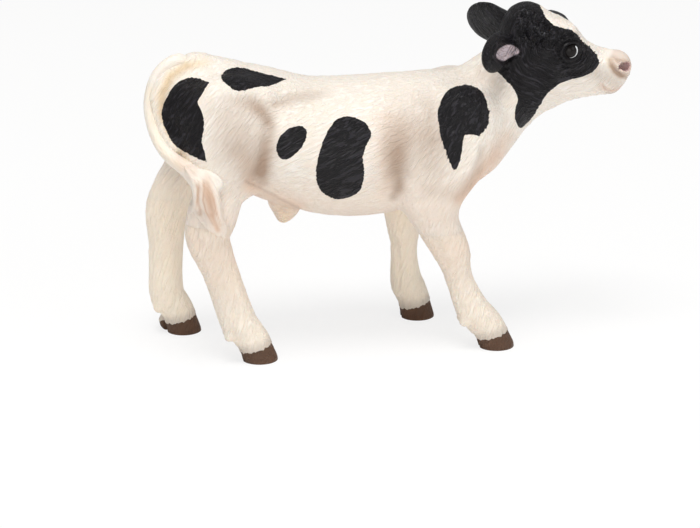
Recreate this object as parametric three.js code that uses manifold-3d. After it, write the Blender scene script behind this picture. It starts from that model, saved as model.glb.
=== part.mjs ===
// A toy calf, standing, moulded in soft vinyl, in millimetres.
// +X points to the nose, +Y to the calf's left, and +Z is up. The soles stand on Z = 0.
//
// The sculpted skin is one distance field, blended from swept limbs and rounded masses. It is cut
// along the seams where the real figure is glued, which gives a torso, a head and four legs. The
// ears and the tail are fields of their own, cut to sit on the skin. Every piece has a flatted
// plug that enters a socket in the piece that carries it.
import * as THREE from "three";
import { triTable } from "three/addons/objects/MarchingCubes.js";
import { mergeVertices } from "three/addons/utils/BufferGeometryUtils.js";
import Module from "manifold-3d";

const wasm = await Module();
wasm.setup();

// Fit
const glueGap = 0.3; // clearance along every seam and all round every plug
const overrun = 6; // how far every cut and every lattice runs past what it cuts or holds

// Lattice pitch of each skin
const torsoCell = 2.05;
const headCell = 1.3;
const legCell = 1.4;
const earCell = 0.9;
const tailCell = 0.95;

// Torso: its sections run from the buttock to the breast
const torsoRear = -37.4;
const torsoLength = 52;
const backHeight = 49.6;
const torsoDepth = 25;
const torsoWidth = 24.8;
const muscleBlend = 2.6; // how softly limbs and masses run into each other

// Each row: place along the length, height of the middle, depth and width of one section
const torsoShares = [
  [0.0, 0.925, 0.46, 0.4],
  [0.1, 0.87, 0.74, 0.66],
  [0.22, 0.828, 0.86, 0.86],
  [0.4, 0.757, 0.93, 0.97],
  [0.58, 0.73, 1.0, 1.0],
  [0.76, 0.742, 0.97, 0.96],
  [0.9, 0.765, 0.88, 0.84],
  [1.0, 0.8, 0.64, 0.58],
];

// Navel: a fold under the belly
const navelX = -18.4;
const navelHeight = 24.9;
const navelLength = 6.4;
const navelDepth = 5.2;
const navelWidth = 4;

// Neck: from the withers to the poll
const neckRootX = 12.1;
const neckRootHeight = 40.4;
const neckRootDepth = 20.8;
const neckRootWidth = 15.5;
const neckTopX = 24.9;
const neckTopHeight = 51;
const neckTopDepth = 16.6;
const neckTopWidth = 11;
const neckSeamShare = 0.65; // the seam crosses the neck at this share of its length
const neckSeamTilt = 0.42; // radians, how far the seam leans back at the nape

// Head: skull and muzzle above, jaw below
const pollX = 25;
const pollHeight = 54.9;
const skullDepth = 10.6;
const skullWidth = 11.4;
const noseX = 40.6;
const noseHeight = 48.8;
const muzzleDepth = 6;
const muzzleWidth = 7.8;
const jawRootX = 27.2;
const jawRootHeight = 47;
const jawDepth = 11;
const jawWidth = 8.6;
const chinX = 39.8;
const chinHeight = 46.1;
const chinDepth = 4.2;
const chinWidth = 5.4;
const topknotX = 24.2;
const topknotLength = 5.8;
const topknotSize = 6.6;
const topknotShare = 0.28; // its middle lies this share of the skull's depth above the poll

// Each row: place on the line from poll to nose, fall along it, share of the skull's depth and
// share of its width
const skullShares = [
  [0.0, 0.0, 1.0, 0.94],
  [0.3, 0.27, 0.88, 1.0],
  [0.62, 0.62, 0.6, 0.72],
];

// Each row: place on the line from the jaw's root to the chin, share of its depth and width
const jawShares = [
  [0.0, 1.0, 1.0],
  [0.5, 0.62, 0.8],
];

// Face
const eyeSize = 2.8;
const eyeX = 31.2;
const eyeHeight = 54.2;
const eyesApart = 8.6;
const nostrilSize = 2;
const nostrilShare = 0.7; // height of a nostril, as a share of its length
const nostrilX = 42.5;
const nostrilHeight = 49.8;
const nostrilsApart = 4.6;
const mouthX = 39.1;
const mouthHeight = 46.2;
const mouthLength = 8;
const mouthWidth = 6.6;
const mouthDrop = 0.35; // radians, how steeply the mouth falls to the front
const lipGroove = 0.7;

// Ears
const earRootsApart = 8.6;
const earSpan = 8.4; // how far the tip stands out sideways from the root
const earSweep = 5.6; // how far the tip lies behind the root
const earLift = 0.6; // how far the tip stands above the root
const earWidth = 7;
const earThickness = 2.8;
const earHollow = 1;
const leftEarX = 22.4;
const leftEarRise = 7; // height of the root above the neck's middle line
const rightEarX = 19.8; // this ear sits farther back and lower
const rightEarRise = 7.4;

// Each row: place along the ear, share of its width and of its thickness
const earShares = [
  [0.0, 0.42, 1.1],
  [0.25, 0.78, 1.0],
  [0.5, 1.0, 1.0],
  [0.75, 0.78, 0.8],
  [0.92, 0.3, 0.5],
];
const earCupShares = [0.8, 2.0, 0.7]; // length, thickness and width of what hollows the ear
const earPlugShare = 0.16; // the plug leaves the ear at this share of its length

// Tail: it leaves the rump, hangs on the buttock and ends in a tuft on the right thigh
const tailThickness = 2.3;
const tailRootX = -34;
const tailRootHeight = 50.6;
const tailEndHeight = 26;
const tailReach = 8.5; // how far the tail stands behind its root
const tailSwing = 12.4; // how far the tuft lies to the right of the middle

// Each row: how far back, how far across, how high, how thick and how flat one section is
const tailShares = [
  [0.0, 0.0, 1.0, 1.1, 1.0],
  [0.37, 0.0, 1.1, 1.1, 1.0],
  [0.8, 0.05, 1.01, 1.0, 1.0],
  [1.0, 0.14, 0.82, 0.95, 1.0],
  [0.94, 0.33, 0.63, 0.92, 1.0],
  [0.73, 0.6, 0.51, 1.0, 1.0],
  [0.38, 0.83, 0.43, 1.4, 0.85],
  [0.08, 0.95, 0.33, 2.0, 0.7],
  [-0.07, 1.0, 0.23, 2.1, 0.68],
  [-0.18, 0.97, 0.1, 1.7, 0.68],
  [-0.26, 0.9, 0.0, 0.8, 0.8],
];

// Legs: the heights of the joints are shared
const foreFeetApart = 17.4;
const hindFeetApart = 16.6;
const shoulderHeight = 43;
const armHeight = 36.5;
const elbowHeight = 30;
const forearmHeight = 24.5;
const kneeHeight = 18.6;
const hipHeight = 43;
const thighHeight = 37.8;
const stifleHeight = 32;
const gaskinHeight = 27;
const hockHeight = 22.9;
const fetlockHeight = 8;
const pasternHeight = 5.4;
const coronetHeight = 3.7;

// Depth of a leg at each joint, seen from the side
const shoulderSize = 12.4;
const armSize = 12.6;
const elbowSize = 11.6;
const forearmSize = 8;
const kneeSize = 6.5;
const foreCannonSize = 4.7;
const hipSize = 16.5;
const thighSize = 15.8;
const stifleSize = 9.2;
const gaskinSize = 8.8;
const hockSize = 7.6;
const hindCannonSize = 6.1;
const foreFetlockSize = 5.6;
const hindFetlockSize = 6.3;
const pasternSize = 6;
const hoofSize = 6.5;

// Width of a leg at each joint, as a share of its depth there
const widthShares = {
  shoulder: 0.62, arm: 0.6, elbow: 0.68, forearm: 0.8, knee: 0.92, foreCannon: 0.9,
  hip: 0.54, thigh: 0.54, stifle: 0.66, gaskin: 0.74, hock: 0.82, hindCannon: 0.88,
  fetlock: 0.94, pastern: 1.0, coronet: 1.0, hoof: 0.94,
};

// How far out the top of a leg lies, as a share of how far out its foot is
const stanceShares = { shoulder: 0.76, arm: 0.9, hip: 0.74, thigh: 0.92 };

// How far on the way from fetlock to toe the pastern and the coronet lie
const toeShares = { pastern: 0.38, coronet: 0.67 };
const foreCannonShare = 0.42; // place of the cannon's middle on the way from knee to fetlock
const hindCannonShare = 0.52; // and from hock to fetlock
const coronetShare = 0.9; // depth at the coronet, as a share of the hoof's

// Places of the joints of each leg along X
const rightFore = { shoulder: 12, arm: 10.2, elbow: 6.2, forearm: 6.9, knee: 9.6, fetlock: 13.4, toe: 18.2 };
const leftFore = { shoulder: 12, arm: 9.8, elbow: 4.8, forearm: 4, knee: 4.3, fetlock: 4.7, toe: 7 };
const rightHind = {
  hip: -29, thigh: -29.7, stifle: -31.2, gaskin: -32.8, hock: -33.5, fetlock: -28.6, toe: -24.6,
};
const leftHind = {
  hip: -30, thigh: -31.5, stifle: -34.5, gaskin: -37.2, hock: -39.1, fetlock: -39.5, toe: -36.4,
};

// Feet
const cleftWidth = 0.6;
const cleftDepth = 2.2;
const dewclawSize = 1.8;
const dewclawShares = [0.31, 0.24, 0.48]; // behind, beside and below the fetlock's middle

// Seams of the legs
const foreSeamHeight = 22.4;
const hindSeamHeight = 26;
const flankX = -24.6; // the hind seams end here, behind the navel
const girthX = -8; // the fore legs lie before this place and the hind feet behind it

// Plugs
const legPlug = { radius: 1.9, length: 5 };
const neckPlug = { radius: 3.4, length: 6 };
const earPlug = { radius: 0.8, length: 3.6 };
const tailPlug = { radius: 0.8, length: 2.8 };
const plugFlatShare = 0.6; // the flat lies at this share of a plug's radius
const neckPlugShare = 0.2; // the neck's plug lies below its middle line by this share of its depth

// Colours of the vinyl and its paint
const cream = "#e9e2d2";
const black = "#211f1e";
const satin = 0.6;

// Vectors
const plus = (a, b) => a.map((value, i) => value + b[i]);
const minus = (a, b) => a.map((value, i) => value - b[i]);
const times = (a, factor) => a.map((value) => value * factor);
const dot = (a, b) => a.reduce((sum, value, i) => sum + value * b[i], 0);
const unit = (a) => times(a, 1 / Math.hypot(...a));
const between = (from, to, share) => from + share * (to - from);

// A station is a place with half the depth and half the width that a limb has there
function station(x, y, z, depth, width) {
  return [x, y, z, depth / 2, width / 2];
}

// Stations of a smooth curve through the given ones, with the same steps in each stretch
function smoothStations(stations, steps = 4) {
  const at = (i) => stations[Math.min(Math.max(i, 0), stations.length - 1)];
  const smooth = [];
  for (let i = 0; i < stations.length - 1; i += 1) {
    for (let s = 0; s < steps; s += 1) {
      const t = s / steps;
      smooth.push(at(i).map((b, k) => {
        const [a, c, d] = [at(i - 1)[k], at(i + 1)[k], at(i + 2)[k]];
        const bend = a - (5 * b) / 2 + 2 * c - d / 2;
        const twist = (3 * (b - c)) / 2 + (d - a) / 2;
        return b + t * ((c - a) / 2 + t * (bend + t * twist));
      }));
    }
  }
  return [...smooth, at(stations.length)];
}

// Distance from a point to an ellipsoid's surface, close to exact near the surface
function roundDistance(dx, dy, dz, radiusX, radiusY, radiusZ) {
  const [x, y, z] = [dx / radiusX, dy / radiusY, dz / radiusZ];
  const outer = Math.sqrt(x * x + y * y + z * z);
  const slope = Math.sqrt((x / radiusX) ** 2 + (y / radiusY) ** 2 + (z / radiusZ) ** 2);
  return slope > 0 ? (outer * (outer - 1)) / slope : -Math.min(radiusX, radiusY, radiusZ);
}

// Distance to a limb swept through stations. Its sections are ellipses, as deep as the stations
// say in the plane of X and Z, and as wide as they say along Y. A point well outside the box that
// holds the limb gets its distance to that box.
function sweep(stations) {
  const rows = smoothStations(stations);
  const links = rows.slice(1).map((end, i) => {
    const along = minus(end, rows[i]);
    return { start: rows[i], along, square: dot(along.slice(0, 3), along.slice(0, 3)) };
  });
  const thickest = Math.max(...rows.map((row) => Math.max(row[3], row[4])));
  const boxLow = [0, 1, 2].map((axis) => Math.min(...rows.map((row) => row[axis])) - thickest);
  const boxHigh = [0, 1, 2].map((axis) => Math.max(...rows.map((row) => row[axis])) + thickest);
  return ([x, y, z]) => {
    const besideX = Math.max(boxLow[0] - x, x - boxHigh[0]);
    const besideY = Math.max(boxLow[1] - y, y - boxHigh[1]);
    const besideZ = Math.max(boxLow[2] - z, z - boxHigh[2]);
    const beside = Math.max(besideX, besideY, besideZ);
    if (beside > muscleBlend) {
      return beside;
    }
    let nearest = Infinity;
    for (const { start, along, square } of links) {
      const dx = x - start[0];
      const dy = y - start[1];
      const dz = z - start[2];
      const reached = (dx * along[0] + dy * along[1] + dz * along[2]) / square;
      const t = Math.min(Math.max(reached, 0), 1);
      const depth = start[3] + t * along[3];
      const width = start[4] + t * along[4];
      const [sideX, sideY, sideZ] = [dx - t * along[0], dy - t * along[1], dz - t * along[2]];
      nearest = Math.min(nearest, roundDistance(sideX, sideY, sideZ, depth, width, depth));
    }
    return nearest;
  };
}

// Distance to an ellipsoid
function mass([x, y, z], size) {
  const [radiusX, radiusY, radiusZ] = times(size, 1 / 2);
  return (p) => roundDistance(p[0] - x, p[1] - y, p[2] - z, radiusX, radiusY, radiusZ);
}

// The union of fields, with valleys between them rounded by the given softness
function blended(fields, softness) {
  return (p) => fields.map((field) => field(p)).reduce((a, b) => {
    const overlap = Math.max(softness - Math.abs(a - b), 0);
    return Math.min(a, b) - (overlap * overlap) / softness / 4;
  });
}

// Torso, navel and neck
const torsoStations = torsoShares.map(([place, height, depth, width]) => station(
  torsoRear + place * torsoLength, 0, height * backHeight, depth * torsoDepth, width * torsoWidth,
));
const neckStations = [
  station(neckRootX, 0, neckRootHeight, neckRootDepth, neckRootWidth),
  station(neckTopX, 0, neckTopHeight, neckTopDepth, neckTopWidth),
];
const navel = mass([navelX, 0, navelHeight], [navelLength, navelWidth, navelDepth]);

// Head
const skullStations = skullShares.map(([along, fall, depth, width]) => station(
  between(pollX, noseX, along), 0, between(pollHeight, noseHeight, fall),
  depth * skullDepth, width * skullWidth,
));
const muzzleStation = station(noseX, 0, noseHeight, muzzleDepth, muzzleWidth);
const jawStations = jawShares.map(([along, depth, width]) => station(
  between(jawRootX, chinX, along), 0, between(jawRootHeight, chinHeight, along),
  depth * jawDepth, width * jawWidth,
));
const chinStation = station(chinX, 0, chinHeight, chinDepth, chinWidth);
const topknot = mass(
  [topknotX, 0, pollHeight + topknotShare * skullDepth],
  [topknotLength, topknotSize, topknotSize],
);

// The ears stand on the neck's middle line, raised
const neckLine = (x) => between(
  neckRootHeight, neckTopHeight, (x - neckRootX) / (neckTopX - neckRootX),
);
const leftEarHeight = neckLine(leftEarX) + leftEarRise;
const rightEarHeight = neckLine(rightEarX) + rightEarRise;

// One joint of a leg: its place along X, its height, its depth, and its entries in the shares
function joint(side, feetApart, x, height, size, name) {
  const out = (side * feetApart) / 2;
  return station(x, out * (stanceShares[name] ?? 1), height, size, size * widthShares[name]);
}

// The joints below the cannon, which all legs share
function foot(side, feetApart, fetlockSize, { fetlock, toe }) {
  const place = (share) => between(fetlock, toe, share);
  const coronetSize = coronetShare * hoofSize;
  return [
    joint(side, feetApart, fetlock, fetlockHeight, fetlockSize, "fetlock"),
    joint(side, feetApart, place(toeShares.pastern), pasternHeight, pasternSize, "pastern"),
    joint(side, feetApart, place(toeShares.coronet), coronetHeight, coronetSize, "coronet"),
    joint(side, feetApart, toe, 0, hoofSize, "hoof"),
  ];
}

function foreLeg(side, places) {
  const add = (x, height, size, name) => joint(side, foreFeetApart, x, height, size, name);
  const cannonX = between(places.knee, places.fetlock, foreCannonShare);
  const cannonHeight = between(kneeHeight, fetlockHeight, 1 / 2);
  return [
    add(places.shoulder, shoulderHeight, shoulderSize, "shoulder"),
    add(places.arm, armHeight, armSize, "arm"),
    add(places.elbow, elbowHeight, elbowSize, "elbow"),
    add(places.forearm, forearmHeight, forearmSize, "forearm"),
    add(places.knee, kneeHeight, kneeSize, "knee"),
    add(cannonX, cannonHeight, foreCannonSize, "foreCannon"),
    ...foot(side, foreFeetApart, foreFetlockSize, places),
  ];
}

function hindLeg(side, places) {
  const add = (x, height, size, name) => joint(side, hindFeetApart, x, height, size, name);
  const cannonX = between(places.hock, places.fetlock, hindCannonShare);
  const cannonHeight = between(hockHeight, fetlockHeight, 1 / 2);
  return [
    add(places.hip, hipHeight, hipSize, "hip"),
    add(places.thigh, thighHeight, thighSize, "thigh"),
    add(places.stifle, stifleHeight, stifleSize, "stifle"),
    add(places.gaskin, gaskinHeight, gaskinSize, "gaskin"),
    add(places.hock, hockHeight, hockSize, "hock"),
    add(cannonX, cannonHeight, hindCannonSize, "hindCannon"),
    ...foot(side, hindFeetApart, hindFetlockSize, places),
  ];
}

const legs = [
  { name: "right_fore_leg", side: -1, fore: true, stations: foreLeg(-1, rightFore) },
  { name: "left_fore_leg", side: 1, fore: true, stations: foreLeg(1, leftFore) },
  { name: "right_hind_leg", side: -1, fore: false, stations: hindLeg(-1, rightHind) },
  { name: "left_hind_leg", side: 1, fore: false, stations: hindLeg(1, leftHind) },
];

// Two dewclaws behind each fetlock
const dewclaws = legs.flatMap(({ stations }) => [-1, 1].map((side) => {
  const fetlock = stations.find((row) => row[2] === fetlockHeight);
  const [behind, beside, below] = times(dewclawShares, 2 * fetlock[3]);
  const centre = plus(fetlock.slice(0, 3), [-behind, side * beside, -below]);
  return mass(centre, [dewclawSize, dewclawSize, dewclawSize]);
}));

const muscles = blended([
  sweep(torsoStations),
  sweep(neckStations),
  sweep([...skullStations, muzzleStation]),
  sweep([...jawStations, chinStation]),
  topknot,
  navel,
  ...legs.map(({ stations }) => sweep(stations)),
], muscleBlend);
const body = blended([muscles, ...dewclaws], dewclawSize / 2);
const bodyCover = (p) => body(p) - glueGap;

// The space that holds the whole figure
const rear = Math.min(torsoRear, leftHind.hock, rightHind.hock, tailRootX - tailReach);
const front = Math.max(noseX, chinX, rightFore.toe, leftFore.toe);
const halfSpan = Math.max(torsoWidth, foreFeetApart, hindFeetApart, earRootsApart) / 2;
const outermost = Math.max(halfSpan, tailSwing, earRootsApart / 2 + earSpan);
const topmost = Math.max(pollHeight + skullDepth, leftEarHeight, rightEarHeight, backHeight);
const low = [rear - overrun, -outermost - overrun, -overrun];
const high = [front + overrun, outermost + overrun, topmost + overrun];
const span = 2 * Math.hypot(...minus(high, low));

// Corners of a lattice cell, and the two corners that each of its edges joins
const corners = [
  [0, 0, 0], [1, 0, 0], [1, 1, 0], [0, 1, 0],
  [0, 0, 1], [1, 0, 1], [1, 1, 1], [0, 1, 1],
];
const edges = [
  [0, 1], [1, 2], [2, 3], [3, 0], [4, 5], [5, 6],
  [6, 7], [7, 4], [0, 4], [1, 5], [2, 6], [3, 7],
];
const clearShare = 0.05; // the skin stays this share of a cell away from lattice points
const probeShare = 0.02; // slopes are felt over this share of a cell
const leastSlope = 0.25; // keeps a step onto the field short where the field is nearly flat
const relaxRounds = 3;

// Closed skin of a field between two corners, as lists of points and triangles
function polygonise(field, from, to, cell) {
  const counts = from.map((value, i) => Math.ceil((to[i] - value) / cell) + 1);
  const place = (node) => node.map((value, i) => from[i] + value * cell);
  const index = ([i, j, k]) => (i * counts[1] + j) * counts[2] + k;
  const least = clearShare * cell;
  const samples = new Float64Array(counts[0] * counts[1] * counts[2]);
  const walk = (left, visit) => {
    for (let i = 0; i < counts[0] - left; i += 1) {
      for (let j = 0; j < counts[1] - left; j += 1) {
        for (let k = 0; k < counts[2] - left; k += 1) {
          visit([i, j, k]);
        }
      }
    }
  };
  walk(0, (node) => {
    const value = field(place(node));
    samples[index(node)] = value < 0 ? Math.min(value, -least) : Math.max(value, least);
  });
  const points = [];
  const triangles = [];
  const known = new Map();
  const crossing = (start, end) => {
    const [a, b] = [index(start), index(end)];
    const key = Math.min(a, b) * samples.length + Math.max(a, b);
    if (!known.has(key)) {
      const t = samples[a] / (samples[a] - samples[b]);
      known.set(key, points.length);
      points.push(place(plus(start, times(minus(end, start), t))));
    }
    return known.get(key);
  };
  walk(1, (node) => {
    const around = corners.map((corner) => plus(node, corner));
    const code = around.reduce((sum, corner, i) => sum + (samples[index(corner)] < 0 ? 2 ** i : 0), 0);
    for (let row = code * 16; triTable[row] !== -1; row += 3) {
      const [a, b, c] = [...triTable.slice(row, row + 3)].map((edge) => {
        const [start, end] = edges[edge];
        return crossing(around[start], around[end]);
      });
      triangles.push([a, c, b]);
    }
  });
  return { points, triangles };
}

// Evens out a skin's triangles and brings its points back onto the field
function relax({ points, triangles }, field, cell) {
  const near = points.map(() => new Set());
  for (const [a, b, c] of triangles) {
    near[a].add(b).add(c);
    near[b].add(a).add(c);
    near[c].add(a).add(b);
  }
  const probe = probeShare * cell;
  const settled = (p) => {
    const value = field(p);
    const slope = p.map((_, axis) => {
      const beside = p.map((entry, i) => (i === axis ? entry + probe : entry));
      return (field(beside) - value) / probe;
    });
    return minus(p, times(slope, value / Math.max(dot(slope, slope), leastSlope)));
  };
  let moved = points;
  for (let round = 0; round < relaxRounds; round += 1) {
    const before = moved;
    moved = before.map((p, i) => {
      const sum = [...near[i]].reduce((total, other) => plus(total, before[other]), [0, 0, 0]);
      const evened = times(plus(p, times(sum, 1 / near[i].size)), 1 / 2);
      return settled(settled(evened));
    });
  }
  return { points: moved, triangles };
}

// The skin of what a field holds between two corners, closed where they cut it off
function skin(field, from, to, cell) {
  const kept = (p) => p.reduce(
    (most, value, i) => Math.max(most, from[i] + cell - value, value + cell - to[i]),
    field(p),
  );
  const { points, triangles } = relax(polygonise(kept, from, to, cell), kept, cell);
  return new wasm.Manifold(new wasm.Mesh({
    numProp: 3,
    vertProperties: Float32Array.from(points.flat()),
    triVerts: Uint32Array.from(triangles.flat()),
  }));
}

function solidOf(geometry) {
  geometry.deleteAttribute("normal");
  geometry.deleteAttribute("uv");
  const merged = mergeVertices(geometry);
  return new wasm.Manifold(new wasm.Mesh({
    numProp: 3,
    vertProperties: merged.attributes.position.array,
    triVerts: Uint32Array.from(merged.index.array),
  }));
}

// A box between two corners
function block(from, to) {
  const middle = times(plus(from, to), 1 / 2);
  return solidOf(new THREE.BoxGeometry(...minus(to, from)).translate(...middle));
}

// Moves a geometry made along Z to a point, facing along a direction
function aimed(geometry, point, direction) {
  const turn = new THREE.Quaternion().setFromUnitVectors(
    new THREE.Vector3(0, 0, 1),
    new THREE.Vector3(...unit(direction)),
  );
  return geometry.applyQuaternion(turn).translate(...point);
}

// Everything on the side of a plane that its normal points to
function halfSpace(point, normal) {
  const geometry = new THREE.BoxGeometry(span, span, span).translate(0, 0, span / 2);
  return solidOf(aimed(geometry, point, normal));
}

// A round peg with one flat side, from a point along a direction
function peg(point, direction, radius, length) {
  const turn = Math.acos(plugFlatShare);
  const outline = new THREE.Shape();
  outline.moveTo(radius * Math.cos(turn), radius * Math.sin(turn));
  outline.absarc(0, 0, radius, turn, 2 * Math.PI - turn, false);
  outline.closePath();
  const options = { depth: length, bevelEnabled: false, curveSegments: 8 };
  return solidOf(aimed(new THREE.ExtrudeGeometry(outline, options), point, direction));
}

// A plug that starts one radius inside its own piece, and the socket that takes it
function plugAndSocket(point, direction, { radius, length }) {
  const start = minus(point, times(unit(direction), radius));
  return {
    plug: peg(start, direction, radius, radius + length),
    socket: peg(start, direction, radius + glueGap, radius + length + glueGap),
  };
}

// Where a limb's middle line crosses a height, and the line's way up from there
function crossingAt(stations, height) {
  const i = stations.findIndex((row) => row[2] < height);
  const [above, below] = [stations[i - 1].slice(0, 3), stations[i].slice(0, 3)];
  const share = (above[2] - height) / (above[2] - below[2]);
  return [above.map((value, axis) => between(value, below[axis], share)), minus(above, below)];
}

// Seam of the neck
const halfGap = glueGap / 2;
const seamNormal = [Math.cos(neckSeamTilt), 0, Math.sin(neckSeamTilt)];
const seamDown = [Math.sin(neckSeamTilt), 0, -Math.cos(neckSeamTilt)];
const seamPoint = [
  between(neckRootX, neckTopX, neckSeamShare), 0, between(neckRootHeight, neckTopHeight, neckSeamShare),
];
const headSide = halfSpace(plus(seamPoint, times(seamNormal, halfGap)), seamNormal);
const torsoSide = halfSpace(minus(seamPoint, times(seamNormal, halfGap)), times(seamNormal, -1));
const neckPlugPoint = plus(seamPoint, times(seamDown, neckPlugShare * neckTopDepth));
const neckJoint = plugAndSocket(neckPlugPoint, times(seamNormal, -1), neckPlug);

// The space of a leg, from a floor to its seam raised by a gap. The foot takes more of it than
// the top, which ends behind the navel.
function legSpace({ side, fore }, floor, gap) {
  const [fromY, toY] = side < 0 ? [low[1], 0] : [0, high[1]];
  const seam = (fore ? foreSeamHeight : hindSeamHeight) + gap;
  const footTop = hockHeight - hockSize;
  const [fromX, toX, footToX] = fore ? [girthX, high[0], high[0]] : [low[0], flankX, girthX];
  return block([fromX, fromY, floor], [toX, toY, seam]).add(
    block([fromX, fromY, floor], [footToX, toY, footTop]),
  );
}

// A wedge that parts the two claws of a hoof from the front
function cleft(stations) {
  const [toeX, toeY] = stations[stations.length - 1];
  const tip = toeX + hoofSize / 2 - cleftDepth;
  const reach = cleftDepth + overrun;
  const halfWidth = (cleftWidth / 2) * (reach / cleftDepth);
  const outline = new THREE.Shape();
  outline.moveTo(tip, toeY);
  outline.lineTo(tip + reach, toeY - halfWidth);
  outline.lineTo(tip + reach, toeY + halfWidth);
  outline.closePath();
  const options = { depth: coronetHeight + overrun, bevelEnabled: false };
  return solidOf(new THREE.ExtrudeGeometry(outline, options).translate(0, 0, -overrun));
}

// Legs
const legJoints = legs.map(({ fore, stations }) => plugAndSocket(
  ...crossingAt(stations, fore ? foreSeamHeight : hindSeamHeight), legPlug,
));
const legTop = Math.max(foreSeamHeight, hindSeamHeight) + overrun;
const legSkins = skin(body, low, [high[0], high[1], legTop], legCell);
const legSolids = legs.map((leg, i) => legSkins
  .intersect(legSpace(leg, 0, -halfGap))
  .subtract(cleft(leg.stations))
  .add(legJoints[i].plug));

// Ears: a leaf along the line from root to tip, hollow on the side that faces forward. Each is
// worked out on the left, and the right one is mirrored.
const earAxis = [-earSweep, earSpan, earLift];
const earLength = Math.hypot(...earAxis);
const earAlong = unit(earAxis);
const earFace = unit([earSpan, earSweep, 0]);
const earAcross = new THREE.Vector3(...earFace).cross(new THREE.Vector3(...earAlong)).toArray();
const earLeaf = sweep(earShares.map(([place, width, thickness]) => station(
  place * earLength, 0, 0, width * earWidth, thickness * earThickness,
)));
const [cupLengthShare, cupThicknessShare, cupWidthShare] = earCupShares;
const cupThickness = cupThicknessShare * earThickness;
const earCup = mass(
  [earLength / 2, (earThickness + cupThickness) / 2 - earHollow, 0],
  [cupLengthShare * earLength, cupThickness, cupWidthShare * earWidth],
);

function ear(rootX, rootHeight) {
  const root = [rootX, earRootsApart / 2, rootHeight];
  const field = (p) => {
    const offset = minus(p, root);
    const local = [dot(offset, earAlong), dot(offset, earFace), dot(offset, earAcross)];
    return Math.max(earLeaf(local), -earCup(local));
  };
  const from = minus(root, [earSweep + earWidth, earWidth, earWidth]);
  const to = plus(root, [earWidth, earSpan + earWidth, earLift + earWidth]);
  const plugStart = plus(root, times(earAxis, earPlugShare));
  return {
    leaf: skin(field, from, to, earCell),
    ...plugAndSocket(plugStart, times(earAxis, -1), earPlug),
  };
}

const headLow = [neckRootX, low[1], neckRootHeight - neckRootDepth / 2];
const headCover = skin(bodyCover, headLow, high, headCell);
const mirrored = (solid) => solid.mirror([0, 1, 0]);
const left = ear(leftEarX, leftEarHeight);
const right = ear(rightEarX, rightEarHeight);
const leftEar = left.leaf.subtract(headCover).add(left.plug);
const rightEar = mirrored(right.leaf).subtract(headCover).add(mirrored(right.plug));

// Eyes, nostrils and the line of the mouth
function ball(centre, size) {
  return solidOf(new THREE.SphereGeometry(1 / 2, 16, 10).scale(...size).translate(...centre));
}

const eyes = [-1, 1].map((side) => ball(
  [eyeX, (side * eyesApart) / 2, eyeHeight],
  [eyeSize, eyeSize, eyeSize],
));
const nostrils = [-1, 1].map((side) => ball(
  [nostrilX, (side * nostrilsApart) / 2, nostrilHeight],
  [nostrilSize, nostrilSize, nostrilShare * nostrilSize],
));
const lipRing = new THREE.TorusGeometry(mouthLength / 2, lipGroove / 2, 6, 32);
const mouth = solidOf(lipRing
  .scale(1, mouthWidth / mouthLength, 1)
  .rotateY(mouthDrop)
  .translate(mouthX - mouthLength / 2, 0, mouthHeight));

// Head
const headSkin = skin(body, headLow, high, headCell).intersect(headSide);
const face = eyes.reduce((sum, eye) => sum.add(eye), headSkin);
const head = [...nostrils, mouth, left.socket, mirrored(right.socket)]
  .reduce((rest, cut) => rest.subtract(cut), face)
  .add(neckJoint.plug);

// Tail
const tailStations = tailShares.map(([back, across, up, thick, flat]) => station(
  tailRootX - back * tailReach, -across * tailSwing, between(tailEndHeight, tailRootHeight, up),
  thick * tailThickness, thick * flat * tailThickness,
));
const tailExit = times(plus(tailStations[0], tailStations[1]), 1 / 2).slice(0, 3);
const tailJoint = plugAndSocket(tailExit, [1, 0, -1], tailPlug);
const tailLow = [low[0], low[1], tailEndHeight - overrun];
const tailHigh = [tailRootX + overrun, overrun, tailRootHeight + 2 * overrun];
const tail = skin(sweep(tailStations), tailLow, tailHigh, tailCell)
  .subtract(skin(bodyCover, tailLow, tailHigh, legCell))
  .add(tailJoint.plug);

// Torso
const torsoCuts = [
  ...legs.map((leg) => legSpace(leg, low[2], halfGap)),
  ...[neckJoint, tailJoint, ...legJoints].map((entry) => entry.socket),
];
const torso = torsoCuts.reduce(
  (rest, cut) => rest.subtract(cut),
  skin(body, low, high, torsoCell).intersect(torsoSide),
);

function toMesh(name, solid, colour) {
  const { vertProperties, triVerts } = solid.getMesh();
  const geometry = new THREE.BufferGeometry();
  geometry.setAttribute("position", new THREE.BufferAttribute(vertProperties, 3));
  geometry.setIndex(new THREE.BufferAttribute(triVerts, 1));
  geometry.computeVertexNormals();
  const material = new THREE.MeshStandardMaterial({ color: colour, roughness: satin, metalness: 0 });
  const mesh = new THREE.Mesh(geometry, material);
  mesh.name = name;
  return mesh;
}

// The whole figure, with the middle of its outline over the origin
const calf = new THREE.Group();
calf.add(
  toMesh("torso", torso, cream),
  toMesh("head", head, black),
  toMesh("left_ear", leftEar, black),
  toMesh("right_ear", rightEar, black),
  toMesh("tail", tail, cream),
  ...legs.map(({ name }, i) => toMesh(name, legSolids[i], cream)),
);
const middle = new THREE.Box3().setFromObject(calf).getCenter(new THREE.Vector3());
calf.position.set(-middle.x, -middle.y, 0);

export default calf;
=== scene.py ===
import math
from concurrent.futures import ThreadPoolExecutor

import bmesh
import bpy
import numpy as np
from mathutils import Matrix, Vector


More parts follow.
